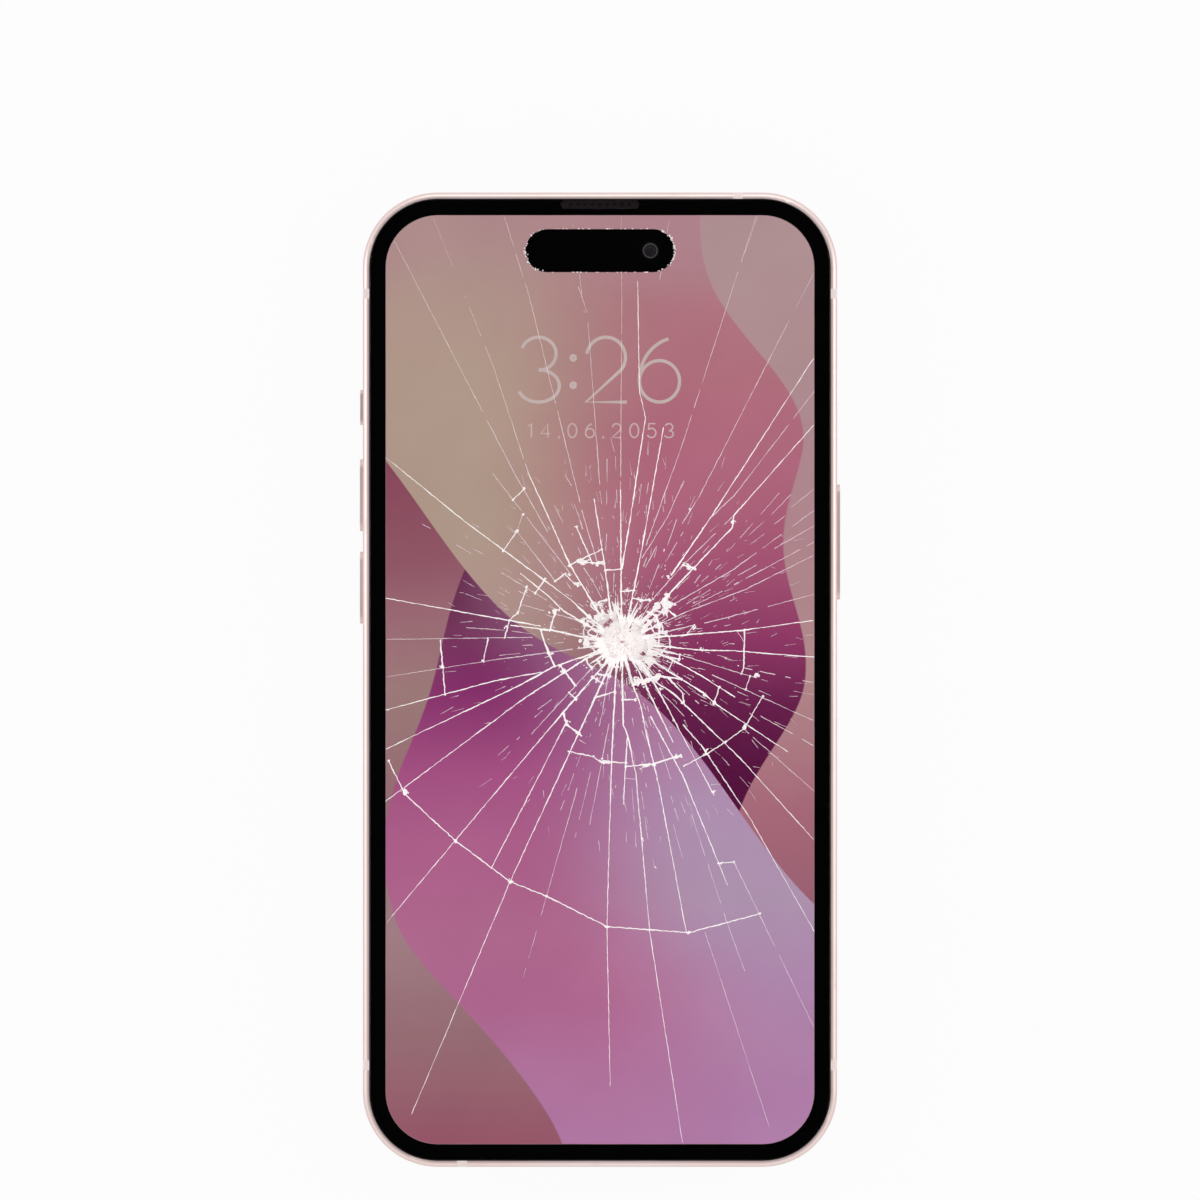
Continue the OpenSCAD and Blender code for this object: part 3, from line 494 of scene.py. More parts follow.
def make_glow(name, colour, dim):
    """Marks on the lit picture: a plain tint that fades a little from place to place."""
    s = Shader(name, IOR=1.3, Roughness=0.4, Specular_IOR_Level=0.1, Emission_Strength=1.0)
    faded = tuple(round(part * dim) for part in colour)
    tone = s.mottle(s.noise(5, 3), faded, colour)
    s.glow(tone)
    s.colour(s.mix(0.93, tone, srgb(0, 0, 0)))
    return s.material


def make_fracture(name, light, dark, glow, lump_mm=0.35):
    """Crushed white fracture faces: powdery and mottled, with a painted glow in their own colour that stands
    for display light scattered in the cracks and makes them brighter than the lamps light them.
    """
    s = Shader(name, IOR=1.4, Specular_IOR_Level=0.3, Emission_Strength=glow)
    tone = s.ramp(s.noise(lump_mm, 5, 0.7), [(0.32, srgb(*dark)), (0.62, srgb(*light))])
    s.colour(tone)
    # painted light: the faces glow with their own colour at strength glow, which is not lamp light
    s.glow(tone)
    s.patchy(s.noise(0.2, 4), 0.35, 0.75)
    s.bump(s.noise(0.12, 4, 0.7), 0.03, 0.8)
    return s.material

# ---- the cracks: angle in degrees and distance from the blow in millimetres ----
# These open cracks are the same as the cuts in the cover glass, and fill them.

RAYS = [
    # to the right
    (WIDE, [(8, 5), (6, 12.5), (5.5, 18), (6.5, 31)]),
    (FINE, [(13, 7), (13, 15.5), (14, 31)]),
    (FINE, [(25.5, 7), (25, 11), (23, 20), (24.5, 34)]),
    (FINE, [(27, 19), (27.5, 35)]),
    (FINE, [(31.5, 27), (31, 36)]),
    (FINE, [(36.5, 9), (33, 20), (34.5, 37)]),
    (WIDE, [(45.5, 9), (46, 24), (48.5, 25.5), (48.5, 46)]),
    (FINE, [(48.5, 25.5), (51.5, 15), (56.5, 6)]),
    (FINE, [(54.5, 23), (52.5, 28), (52.5, 50)]),
    (WIDE, [(53.5, 12.5), (54.5, 23), (56, 54)]),
    # upwards
    (FINE, [(63, 20), (62, 25), (62.5, 54)]),
    (FINE, [(76, 15), (73, 31), (72.5, 70)]),
    (WIDE, [(76, 5), (78, 15.5), (79, 33)]),
    (FINE, [(76.5, 13), (70, 20), (69, 26)]),
    (WIDE, [(90, 11), (86, 19), (84, 34), (86, 38), (87.5, 54.5)]),
    (WIDE, [(91, 5), (90.5, 23)]),
    (FINE, [(90.5, 23), (90, 52)]),
    (FINE, [(98, 24), (96, 50), (97, 54)]),
    (WIDE, [(110, 5), (103, 11), (101, 22)]),
    (FINE, [(107, 12.5), (107, 20), (105, 54), (105.5, 68)]),
    (WIDE, [(128, 6), (124, 14), (119, 29)]),
    (FINE, [(119, 29), (115, 46)]),
    (FINE, [(124, 20), (122.5, 30), (119.5, 72)]),
    (FINE, [(127, 13), (127.5, 32)]),
    (FINE, [(139, 12), (133.5, 23), (127.5, 24.5)]),
    (WIDE, [(143, 6), (140.5, 10), (142.5, 30), (142, 44)]),
    # to the left
    (WIDE, [(154.5, 5), (152, 10), (148, 13), (146, 18.5)]),
    (FINE, [(151, 13), (150, 21)]),
    (FINE, [(154.5, 8), (159.5, 16)]),
    (WIDE, [(169, 12.5), (169.5, 39)]),
    (WIDE, [(172.5, 6), (170.5, 11), (171.5, 17)]),
    (FINE, [(177, 13.5), (179.5, 39)]),
    (FINE, [(188.5, 6), (188, 20), (188.5, 38)]),
    (WIDE, [(200.5, 13), (197, 20), (196, 40)]),
    (WIDE, [(201.5, 5), (200, 11), (203, 17), (204.5, 43)]),
    (WIDE, [(205, 6), (210, 17), (214, 43)]),
    (FINE, [(221, 6), (225.5, 19.5)]),
    (WIDE, [(231.5, 5), (230, 20), (230, 54)]),
    # downwards
    (WIDE, [(235.5, 15), (240, 39.5)]),
    (WIDE, [(243.5, 5), (245, 40), (246, 78)]),
    (FINE, [(249, 6), (254.5, 11), (255, 13.5)]),
    (FINE, [(253, 23), (253.5, 40)]),
    (WIDE, [(259.5, 5), (265, 18), (267, 43), (268.5, 67)]),
    (FINE, [(261, 12.5), (260, 28)]),
    (WIDE, [(270.5, 5), (271, 12.5), (273.5, 14), (276, 20), (275.5, 44), (277, 80)]),
    (WIDE, [(273.5, 14), (270.5, 24.5)]),
    (WIDE, [(284, 6.5), (286.5, 10), (285, 14), (284.5, 22), (282.5, 45)]),
    (FINE, [(292, 28), (290.5, 46), (290.5, 53)]),
    (WIDE, [(291, 12), (294.5, 22), (293.5, 40)]),
    (FINE, [(297, 37), (296.5, 66)]),
    (FINE, [(286, 45.5), (287, 82)]),
    (WIDE, [(300, 5), (297, 17)]),
    (WIDE, [(308, 8), (305.5, 11), (301, 27)]),
    (WIDE, [(306.5, 15.5), (307.5, 20), (306, 33), (303.5, 54)]),
    (WIDE, [(310.5, 8), (315, 11), (315.5, 25), (314, 45)]),
    (FINE, [(324.5, 22.5), (322, 39)]),
    (WIDE, [(328, 8), (328, 14.5), (326.5, 17), (326.5, 30)]),
    (FINE, [(332, 22.5), (331.5, 36)]),
    (WIDE, [(342, 7), (337, 13), (334, 19)]),
    (FINE, [(340, 14.5), (337.5, 34)]),
    (FINE, [(347.5, 9), (345, 21)]),
    (FINE, [(348, 19), (348, 31)]),
    (WIDE, [(354, 5), (354, 12), (355.5, 17), (355.5, 31)]),
]

# Cracks that run across the rays, round the blow.
RINGS = [
    (WIDE, [(0, 5.6), (20, 6), (37, 6.5), (50, 6)]),
    (WIDE, [(25.5, 9), (40, 8.3), (45.5, 9.5), (46, 9)]),
    (FINE, [(8, 10), (13, 11.2)]),
    (FINE, [(45.5, 15.6), (51.5, 14.8)]),
    (FINE, [(57, 7.6), (64, 6.9), (76, 6.8)]),
    (FINE, [(76.5, 8), (91, 7.6)]),
    (FINE, [(90.5, 11), (103, 11.1)]),
    (FINE, [(102, 14.3), (124, 14)]),
    (FINE, [(102.5, 12.2), (110.5, 12.7), (118, 13.7)]),
    (FINE, [(110.5, 12.7), (111.5, 18.7)]),
    (FINE, [(126, 11), (129, 11.4), (130, 13.4), (137.5, 13.6)]),
    (FINE, [(122.5, 27.4), (127.5, 27)]),
    (FINE, [(133.5, 23), (142.5, 22.6)]),
    (FINE, [(140.5, 15), (150.5, 15)]),
    (FINE, [(150, 16.6), (164.5, 16.3), (169, 17.3), (178, 17.7)]),
    (WIDE, [(156, 11), (170.5, 11), (171.5, 12.4), (188.5, 11.2), (200, 10.8)]),
    (FINE, [(179, 20.2), (188, 21.1)]),
    (WIDE, [(179.5, 27.4), (188, 27.3), (196.5, 27.8)]),
    (WIDE, [(201, 10), (223, 9.6)]),
    (FINE, [(223.5, 11), (231.5, 11.1)]),
    (WIDE, [(231, 14), (236.5, 15), (246.5, 15.4)]),
    (FINE, [(230, 6.9), (245, 6.9)]),
    (WIDE, [(207, 39.5), (215, 40), (230, 39.1), (245, 39.9), (253.5, 40), (267, 43), (283, 45), (297, 46)]),
    (FINE, [(244, 18.4), (256, 17.8), (260, 18.4), (272, 18.2)]),
    (WIDE, [(272, 18.8), (285, 19), (297.5, 19.3)]),
    (FINE, [(244.5, 9.3), (251.5, 8.4), (261.5, 7.6)]),
    (FINE, [(270, 8.7), (283.5, 8.9)]),
    (FINE, [(293.5, 36.4), (297, 37.3)]),
    (WIDE, [(283.5, 6.8), (308, 7), (316, 7.4), (328, 10.6)]),
    (FINE, [(297, 20.9), (307, 21.2), (316, 21.7), (324.5, 22.6), (339, 22.8)]),
    (FINE, [(339, 20), (345, 20)]),
    (FINE, [(345, 18.7), (348, 18.8), (366, 18.6)]),
    (FINE, [(326.5, 16.7), (335, 16.2)]),
    (FINE, [(315.5, 13), (320, 12), (322, 9)]),
    (WIDE, [(342, 7.2), (343, 9), (348, 9)]),
]

# Hairlines and dashes that stay inside the glass: (angle, distance) points along each.
HAIRLINES = [
    [(26.8, 17), (26.8, 11.4)], [(29.8, 23.4), (29.8, 17)], [(30.5, 16.7), (30.5, 9.7)],
    [(38.5, 37), (38.5, 32.6)], [(37.7, 31), (37.7, 29)], [(37.2, 27), (37.2, 24.3)],
    [(41.5, 37), (40.5, 30), (40, 25)], [(43.4, 32.7), (42.4, 27.7), (41.3, 23.7), (40.5, 20.9)],
    [(38, 19), (37, 15)], [(40.5, 15.6), (37.4, 12.6)], [(60.9, 19), (61.3, 14.6)],
    [(65.9, 20.3), (64.3, 15)], [(64.5, 13), (62.6, 9)], [(70, 15.4), (72.6, 11.7)],
    [(80.8, 18.3), (78, 15.4)], [(80.5, 24.4), (80.5, 22.6)], [(79.8, 21), (79, 19)],
    [(83, 24), (83, 21)], [(92, 28), (92, 26)], [(92, 23), (92, 21)], [(94.6, 27.7), (95.3, 24.3)],
    [(95.7, 23), (96.8, 19.3)], [(98.3, 23), (98.3, 21)], [(98, 16.5), (100, 14)],
    [(96.5, 10.5), (100, 7.5)], [(109, 22), (109, 18)], [(114.6, 20), (115, 14.6)],
    [(116.3, 23), (116.3, 20)], [(117.2, 12.6), (115.7, 10), (114.3, 6.6)],
    [(149.4, 35), (149.4, 33.5)], [(149.6, 29), (149.6, 26)], [(153.8, 17.4), (153.8, 15.4)],
    [(162.5, 27), (163.4, 22)], [(174.7, 23.6), (174.3, 17.4), (174.9, 13)], [(182, 15), (182, 12.6)],
    [(186.3, 18.6), (186.3, 15.4)], [(188.2, 17.5), (188.2, 16)], [(218.6, 17.4), (219.3, 13.7)],
    [(220.8, 17.4), (220.8, 15.8)], [(222.5, 25.3), (222.5, 23.1)], [(222.9, 21.7), (222.9, 19.7)],
    [(234, 29.5), (234, 28.5)], [(245.9, 13.4), (245, 10.9), (243.8, 8.6)], [(250, 27), (250, 18)],
    [(256.5, 30.3), (256.5, 18.6)], [(251.5, 14), (251.5, 12)], [(267.5, 22), (267.5, 20.5)],
    [(271.3, 31.4), (271.3, 28.6)], [(274, 31), (274, 22)], [(277.5, 30), (277.5, 22)],
    [(278.2, 35), (278.2, 33)], [(281, 18.5), (281, 17)], [(285.7, 33.7), (285.7, 28.6)],
    [(287.6, 28.3), (287.6, 22.3)], [(290.3, 27.5), (290.3, 25)], [(292.2, 27.7), (292.2, 25)],
    [(289.7, 22), (290, 15.4)], [(289.3, 13.4), (289.3, 9.7)], [(311.2, 29), (311.2, 27)],
    [(311, 24.7), (311, 23)], [(310, 14.6), (309.3, 11.7), (307.6, 10)], [(303, 14.3), (305.3, 12.6)],
    [(301.8, 25.3), (304.7, 26.1)], [(321.3, 14.9), (323.2, 10.3)], [(331.7, 21.5), (331.7, 20.5)],
    [(331.5, 12), (331.5, 10.5)], [(326, 15.4), (325, 12.9)], [(351.5, 16), (353.8, 11.9)],
    [(359, 17), (359, 16)], [(246.5, 16.1), (250.5, 16.3)], [(271.3, 20.6), (276.1, 20.8)],
    [(206.8, 8.3), (208.8, 9.7)], [(345, 21), (348, 21.1)], [(358.8, 18.6), (362, 18.1), (365.5, 17.4)],
    [(62.5, 46), (62.5, 75)], [(90, 52), (90.2, 78)], [(96.5, 50), (96.8, 80)], [(230, 54), (230.4, 62)],
    [(253.5, 40), (253.6, 54)], [(54, 54), (54.4, 68)], [(48.5, 46), (49, 58)], [(6.5, 31), (6.8, 40)],
    [(142, 44), (142.3, 57)], [(115, 46), (114, 70)], [(84, 55), (83.6, 64)], [(72.5, 60), (72.2, 76)],
]

# White knots where cracks meet: angle, distance from the blow, size, and how much longer it is
# round the blow than outwards.
KNOTS = [
    (41.5, 8.8, 2.4, 0.9), (36, 7.9, 1.3, 1.0), (155.4, 11.2, 1.3, 1.0), (180.7, 5.5, 1.7, 1.1),
    (207, 9.9, 0.8, 1.0),
    (316, 7.6, 1.2, 2.0), (290.7, 6.6, 1.3, 1.2), (236.2, 6.8, 0.8, 0.8), (10.6, 11.1, 0.7, 0.8),
    (354.4, 12.1, 0.7, 0.7), (48.5, 15.2, 1.1, 1.5), (54.5, 12, 0.7, 0.6), (106.5, 12.4, 1.0, 1.6),
    (115.7, 13.4, 1.0, 1.8), (127.6, 10.9, 0.7, 1.2), (127.8, 12.9, 0.6, 1.0), (235.2, 14.6, 0.7, 1.4),
    (309.3, 9.2, 0.6, 1.0), (327.3, 15, 0.7, 0.8), (47.3, 24.7, 0.8, 0.8), (62.9, 22.5, 0.6, 0.6),
    (346.2, 21, 0.9, 0.8), (325.3, 22.5, 0.9, 1.0), (307.5, 20.8, 0.7, 1.3), (301.7, 26.5, 0.5, 1.6),
    (262.7, 18.2, 0.9, 2.2), (281.4, 19, 0.9, 2.8), (295.6, 19.2, 0.8, 2.0), (244, 15.2, 0.8, 1.8),
    (214.5, 39.8, 0.9, 1.0), (230.3, 39.2, 0.6, 1.2), (245.1, 39.9, 0.7, 1.0), (276, 29.9, 0.6, 0.4),
    (278.5, 34.4, 0.4, 0.4), (294.2, 36.6, 0.5, 1.2), (187.8, 27.4, 0.6, 0.6), (172.4, 17.6, 0.6, 0.8),
    (127.7, 24.3, 0.5, 1.0), (151.7, 16.4, 0.5, 1.0), (189.6, 10.7, 0.6, 0.8), (196.1, 36.8, 0.4, 0.6),
    (65.3, 15.2, 0.5, 0.5), (117.5, 13.9, 0.7, 1.8), (101, 5.3, 1.4, 0.6), (135, 5.2, 1.3, 1.0),
    (324, 5.0, 1.3, 1.2), (45, 6.4, 1.1, 0.6), (24, 6.0, 1.3, 1.3), (300, 7.0, 1.2, 1.4),
    (66, 6.9, 0.7, 1.4), (84, 7.9, 0.6, 1.6), (120, 6.4, 0.8, 1.3), (150, 6.8, 0.6, 1.2),
]

# Small loops of crack round the crushed core: angle, distance, half length outwards, half width.
LOOPS = [
    (163.4, 4.6, 0.75, 0.6), (150, 5.4, 0.6, 0.4), (20, 5.5, 0.5, 0.7), (128, 6.9, 0.6, 0.5),
    (291, 6.0, 0.35, 0.4), (342, 5.8, 0.5, 0.5),
]

# Chinks in the crushed core, where the picture shows through: angle, distance, half length
# outwards, half width.
CHINKS = [
    (0, 0.05, 0.28, 0.2), (127, 3.5, 0.4, 0.85), (163, 4.3, 0.45, 0.4), (165, 3.3, 0.25, 0.3),
    (19, 4.7, 0.5, 0.45), (37, 4.6, 0.3, 0.3), (331, 3.7, 0.4, 0.35), (318, 4.6, 0.4, 0.22),
    (289, 2.9, 0.75, 0.24), (137, 5.2, 0.4, 0.45), (118, 5.0, 0.22, 0.4), (346, 4.4, 0.3, 0.3),
    (60, 2.6, 0.35, 0.12), (52, 2.0, 0.2, 0.1), (300, 4.2, 0.35, 0.25), (100, 3.9, 0.3, 0.12),
]

# How far the solid white core reaches, by direction from the blow in degrees.
CORE_REACH = [
    (0, 5.0), (12, 4.1), (22, 3.8), (32, 4.4), (45, 4.8), (60, 4.0), (75, 4.0), (90, 3.4), (101, 5.3),
    (114, 4.8), (126, 5.5), (136, 5.3), (146, 4.4), (157, 3.9), (172, 3.5), (186, 3.5), (198, 3.6),
    (212, 3.4), (226, 3.5), (240, 3.9), (254, 3.1), (270, 2.8), (284, 2.8), (298, 3.4), (310, 4.4),
    (320, 5.3), (331, 5.3), (342, 4.8), (352, 4.6),
]


# ---- building pieces ----

def add_piece(name, vertices, faces, material, smooth=False):
    """Makes a mesh piece in the row frame that moves with the housing."""
    mesh = bpy.data.meshes.new(name)
    mesh.from_pydata(vertices, [], faces)
    mesh.materials.append(material)
    if smooth:
        mesh.polygons.foreach_set("use_smooth", [True] * len(mesh.polygons))
    mesh.update()
    piece = bpy.data.objects.new(name, mesh)
    bpy.context.scene.collection.objects.link(piece)
    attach(piece, "housing")
    return piece


def around(turn, reach):
    """A step of a given length in a direction in radians."""
    return Vector((math.cos(turn), math.sin(turn))) * reach


def turned(along, across, turn):
    """A flat step turned by an angle in radians."""
    return Vector((along * math.cos(turn) - across * math.sin(turn),
                   along * math.sin(turn) + across * math.cos(turn)))


def polar(angle, radius_mm):
    """A point on the glass at an angle in degrees and a distance from the blow."""
    return BLOW + around(math.radians(angle), radius_mm) * MM


def on_picture(point):
    """Whether a point lies over the lit picture, outside the black camera window."""
    if abs(point.x) > LIT_W or abs(point.y) > LIT_H:
        return False
    along = max(abs(point.x - PILL.x) - (PILL_LEN - PILL_W) / 2, 0)
    if math.hypot(along, point.y - PILL.y) < PILL_W / 2:
        return False
    corner_x = abs(point.x) - (LIT_W - LIT_R)
    corner_y = abs(point.y) - (LIT_H - LIT_R)
    return corner_x < 0 or corner_y < 0 or math.hypot(corner_x, corner_y) < LIT_R


def ring_face(ring, k, count):
    """One face between a ring of count vertices and the next ring."""
    a = ring * count
    after = a + (k + 1) % count
    return (a + k, a + k + count, after + count, after)


def thinning(point):
    """How wide a crack still is at a point, from 1 at the blow down to 0.3 far away."""
    distance = (point - BLOW).length / MM
    return 0.3 + 0.7 * math.exp(-max(distance - 6, 0) / 26)


def walk(points, step):
    """Points along a line, about step apart, with the distance covered at each."""
    out = [(points[0], 0.0)]
    covered = 0.0
    for start, end in zip(points, points[1:]):
        length = (end - start).length
        count = max(1, math.ceil(length / step))
        for k in range(1, count + 1):
            out.append((start.lerp(end, k / count), covered + length * k / count))
        covered += length
    return out


class Heap:
    """Vertices and faces gathered from many small shapes into one piece.

    Its blobs, ribbons and cracks reach from low up to high, and take random numbers from rng.
    """

    def __init__(self, low=0.0, high=0.0, rng=None):
        self.vertices = []
        self.faces = []
        self.layers = 0
        self.low = low
        self.high = high
        self.rng = rng

    def top(self):
        """The height of the next shape, a little lower in turn, so that no two tops share a plane."""
        self.layers += 1
        return self.high - (self.layers % LAYERS) * LAYER

    def wall(self, first, second, count):
        """Faces between two rings of vertices, numbered from first and from second."""
        for k in range(count):
            after = (k + 1) % count
            self.faces.append((first + k, first + after, second + after, second + k))

    def level(self, outline, height):
        """Adds the points of an outline at a height."""
        self.vertices += [(p.x, p.y, height) for p in outline]

    def prism(self, outline):
        """A flat shape with a top, a bottom and sides, from points anticlockwise."""
        base = len(self.vertices)
        count = len(outline)
        top = base + count
        self.level(outline, self.low)
        self.level(outline, self.top())
        self.faces.append(tuple(range(top, top + count)))
        self.faces.append(tuple(reversed(range(base, top))))
        self.wall(base, top, count)

    def hoop(self, outer, inner, low, high):
        """A closed ring between two outlines with as many points each."""
        base = len(self.vertices)
        count = len(outer)
        for outline in (outer, inner):
            self.level(outline, low)
            self.level(outline, high)
        for k in range(count):
            after = (k + 1) % count
            for first, second in ((0, 1), (3, 2), (2, 0), (1, 3)):
                a = base + first * count
                b = base + second * count
                self.faces.append((a + k, a + after, b + after, b + k))

    def strip(self, centres, widths):
        """A ribbon along a line of points, with its own width at each point."""
        if len(centres) < 2:
            return
        high = self.top()
        base = len(self.vertices)
        for k, (centre, width) in enumerate(zip(centres, widths)):
            before = centres[max(k - 1, 0)]
            after = centres[min(k + 1, len(centres) - 1)]
            run = (after - before).normalized()
            side = Vector((-run.y, run.x)) * width / 2
            for point in (centre + side, centre - side):
                self.vertices += [(point.x, point.y, self.low), (point.x, point.y, high)]
        last = base + 4 * (len(centres) - 1)
        for a in range(base, last, 4):
            b = a + 4
            self.faces += [(a + 1, a + 3, b + 3, b + 1), (a, b, b + 2, a + 2),
                           (a, a + 1, b + 1, b), (a + 2, b + 2, b + 3, a + 3)]
        self.faces.append((base, base + 2, base + 3, base + 1))
        self.faces.append((last, last + 1, last + 3, last + 2))

    def blob(self, centre, size, long, turn, spikes):
        """An irregular flat splinter, long times as long one way as the other."""
        outline = []
        for k in range(spikes):
            angle = 2 * math.pi * (k + self.rng.uniform(-0.3, 0.3)) / spikes
            reach = size / 2 * self.rng.uniform(0.45, 1.25)
            local = Vector((math.cos(angle), math.sin(angle) * long)) * reach
            outline.append(centre + turned(local.x, local.y, turn))
        self.prism(outline)

    def shard(self, centre, size, outward):
        """A splinter of glass: a wedge drawn out along one direction, tilted at random."""
        rng = self.rng
        base = len(self.vertices)
        spin = rng.uniform(0, 2 * math.pi)
        tilt = rng.uniform(-0.35, 0.35)
        draw = rng.uniform(1.0, 2.2)
        corners = []
        for k in range(3):
            angle = spin + 2 * math.pi * k / 3 + rng.uniform(-0.5, 0.5)
            reach = size * rng.uniform(0.4, 0.7)
            flat = turned(math.cos(angle) * reach * draw, math.sin(angle) * reach, outward)
            corners.append(Vector((flat.x, flat.y, math.sin(angle + spin) * tilt * size)))
        lift = Vector((rng.uniform(-0.2, 0.2) * size, rng.uniform(-0.2, 0.2) * size, size * 0.4))
        for corner in corners:
            self.vertices.append(tuple(centre + corner - Vector((0, 0, size * 0.2))))
        for corner in corners:
            self.vertices.append(tuple(centre + corner * rng.uniform(0.3, 0.9) + lift * 0.5))
        self.faces.append((base + 2, base + 1, base))
        self.faces.append((base + 3, base + 4, base + 5))
        self.wall(base, base + 3, 3)

    def crack(self, points, widths, stray_mm, gaps=0.0):
        """Lays one crack as uneven ribbons from one width to the other.

        It wanders by stray_mm, thins away from the blow and, where gaps is above 0, breaks off in places.
        """
        rng = self.rng
        samples = walk(points, CRACK_STEP)
        total = max(samples[-1][1], 1e-9)
        centres = []
        spread = []
        resume = -1.0
        swell = 1.0
        for k, (point, covered) in enumerate(samples):
            if covered > resume and rng.random() < gaps:
                resume = covered + rng.uniform(0.3, 1.3) * MM
            if covered < resume or not on_picture(point):
                self.strip(centres, spread)
                centres = []
                spread = []
                continue
            end = k in (0, len(samples) - 1)
            stray = 0.0 if end else stray_mm * MM
            centres.append(point + Vector((rng.uniform(-stray, stray), rng.uniform(-stray, stray))))
            swell = 0.55 * swell + 0.45 * rng.uniform(0.2, 1.8)
            share = covered / total
            width = widths[0] * (1 - share) + widths[1] * share
            spread.append(width * swell * thinning(point))
        self.strip(centres, spread)

    def piece(self, name, material, slot="front_glass"):
        return add_piece(name, self.vertices, self.faces, material)


def rounded_outline(half_w, half_h, radius):
    """Points anticlockwise round a rectangle with round corners."""
    steps = 16
    points = []
    for sign_x, sign_y, start in ((1, 1, 0), (-1, 1, 90), (-1, -1, 180), (1, -1, 270)):
        corner = Vector((sign_x * (half_w - radius), sign_y * (half_h - radius)))
        for k in range(steps + 1):
            points.append(corner + around(math.radians(start + 90 * k / steps), radius))
    return points


def circle(centre, radius):
    steps = 48
    return [centre + around(2 * math.pi * k / steps, radius) for k in range(steps)]


# ---- the damage ----

def core_reach(angle):
    """How far the white core reaches in a direction, read between the listed ones."""
    angle %= 360
    listed = CORE_REACH + [(360, CORE_REACH[0][1])]
    for (low, near), (high, far) in zip(listed, listed[1:]):
        if angle <= high:
            return near + (far - near) * (angle - low) / (high - low)


def polar_path(path):
    """The points on the glass of a path in the tables."""
    return [polar(angle, radius) for angle, radius in path]


def make_open_cracks(white, pale):
    """White fracture faces that fill the cuts in the cover glass, and their roots in the core."""
    rng = random.Random(SEED)
    low = GLASS_UNDER + SKIN
    wide = Heap(low, MARK_TOP, rng)
    fine = Heap(low, MARK_TOP, rng)
    for kind, path in RAYS:
        heap, width, gaps = (wide, WIDE * 0.86, 0.0) if kind == WIDE else (fine, FINE, 0.02)
        heap.crack(polar_path(path), (width, width * 0.8), 0.04, gaps)
        angle, radius = path[0]
        if radius < NEAR_MM:
            root = [polar(angle + rng.uniform(-2, 2), core_reach(angle) - 0.7), polar(angle, radius)]
            wide.low = MARK_TOP - 0.2 * MM
            wide.crack(root, (0.42 * MM, width), 0.05)
            wide.low = low
    for kind, path in RINGS:
        width = WIDE if kind == WIDE else FINE * 1.5
        wide.crack(polar_path(path), (width, width), 0.06)
    wide.piece("cracks_open", white)
    fine.piece("cracks_fine", pale)


def dash_share(angle):
    """How thick the dashes lie in a direction: thickest at the right, thinnest at the left."""
    return 0.62 + 0.38 * math.cos(math.radians(angle - 15))


def make_hairlines(pale):
    """Hairlines and dashes, most of them pointing at the blow."""
    rng = random.Random(SEED + 1)
    heap = Heap(GLASS_TOP - 0.08 * MM, MARK_TOP, rng)
    for path in HAIRLINES:
        heap.crack(polar_path(path), (HAIR * 2, HAIR * 1.3), 0.03, 0.08)
    for _ in range(DASHES):
        distance = 5.5 + 25 * rng.random() ** 2.0
        angle = rng.uniform(0, 360)
        if rng.random() > dash_share(angle):
            continue
        length = rng.uniform(0.2, 1.6) * (0.6 + distance / 30)
        start = polar(angle, distance)
        end = polar(angle + rng.uniform(-1.2, 1.2), distance + length)
        width = HAIR * rng.uniform(0.7, 2.2)
        heap.crack([start, end], (width, width * 0.5), 0.02)
    heap.piece("cracks_hair", pale)


def add_cells(heap):
    """Short links between neighbouring rays near the core, which leave small cells of glass."""
    rng = heap.rng
    angles = sorted(path[0][0] for _, path in RAYS if path[0][1] < NEAR_MM)
    for here, after in zip(angles, angles[1:] + [angles[0] + 360]):
        if not 3 < after - here < 24:
            continue
        for _ in range(rng.choice((0, 1, 1))):
            radius = max(core_reach(here), core_reach(after)) + rng.uniform(0.3, 3.2)
            link = [polar(here, radius + rng.uniform(-0.3, 0.3)),
                    polar((here + after) / 2, radius + rng.uniform(-0.25, 0.35)),
                    polar(after, radius + rng.uniform(-0.3, 0.3))]
            heap.crack(link, (0.24 * MM, 0.24 * MM), 0.07)
            for corner in (link[0], link[2]):
                if rng.random() < 0.6:
                    size = rng.uniform(0.35, 0.8) * MM
                    heap.blob(corner, size, 1.2, rng.uniform(0, 3), 7)


def make_knots(white):
    """Splintered knots where cracks meet, small cells, and chips strewn near the blow."""
    rng = random.Random(SEED + 2)
    heap = Heap(GLASS_TOP - 0.25 * MM, MARK_TOP, rng)

    def chip(angle, radius, size_mm, long, turn, spikes):
        heap.blob(polar(angle, radius), size_mm * MM, long, math.radians(turn), spikes)

    for angle, radius, size, long in KNOTS:
        chip(angle, radius, size * 0.85, long, angle, 8)
        for _ in range(4):
            stray = angle + rng.uniform(-0.5, 0.5) * size * long * 60 / radius
            away = radius + rng.uniform(-0.5, 0.5) * size
            chip(stray, away, size * rng.uniform(0.2, 0.45), 1.3, angle, 7)
    for _, path in RINGS:
        for angle, radius in path:
            size = rng.uniform(0.3, 0.62)
            chip(angle, radius, size, rng.uniform(0.8, 1.5), angle, 7)
    for angle, radius, half_long, half_wide in LOOPS:
        ring = []
        for k in range(7):
            turn = 2 * math.pi * k / 7
            across = half_wide * rng.uniform(0.7, 1.3) * math.sin(turn) / radius * RADIAN
            ring.append(polar(angle + across, radius + half_long * rng.uniform(0.7, 1.3) * math.cos(turn)))
        heap.crack(ring + ring[:1], (0.22 * MM, 0.22 * MM), 0.04)
    add_cells(heap)
    for _ in range(CHIPS):
        distance = 4.8 + 17 * rng.random() ** 2.4
        angle = rng.uniform(0, 360)
        if rng.random() > dash_share(angle) + 0.2:
            continue
        size = rng.uniform(0.07, 0.3) * (1.15 - distance / 40)
        chip(angle, distance, size, rng.uniform(0.4, 1.0), angle, 6)
    heap.piece("crack_knots", white)


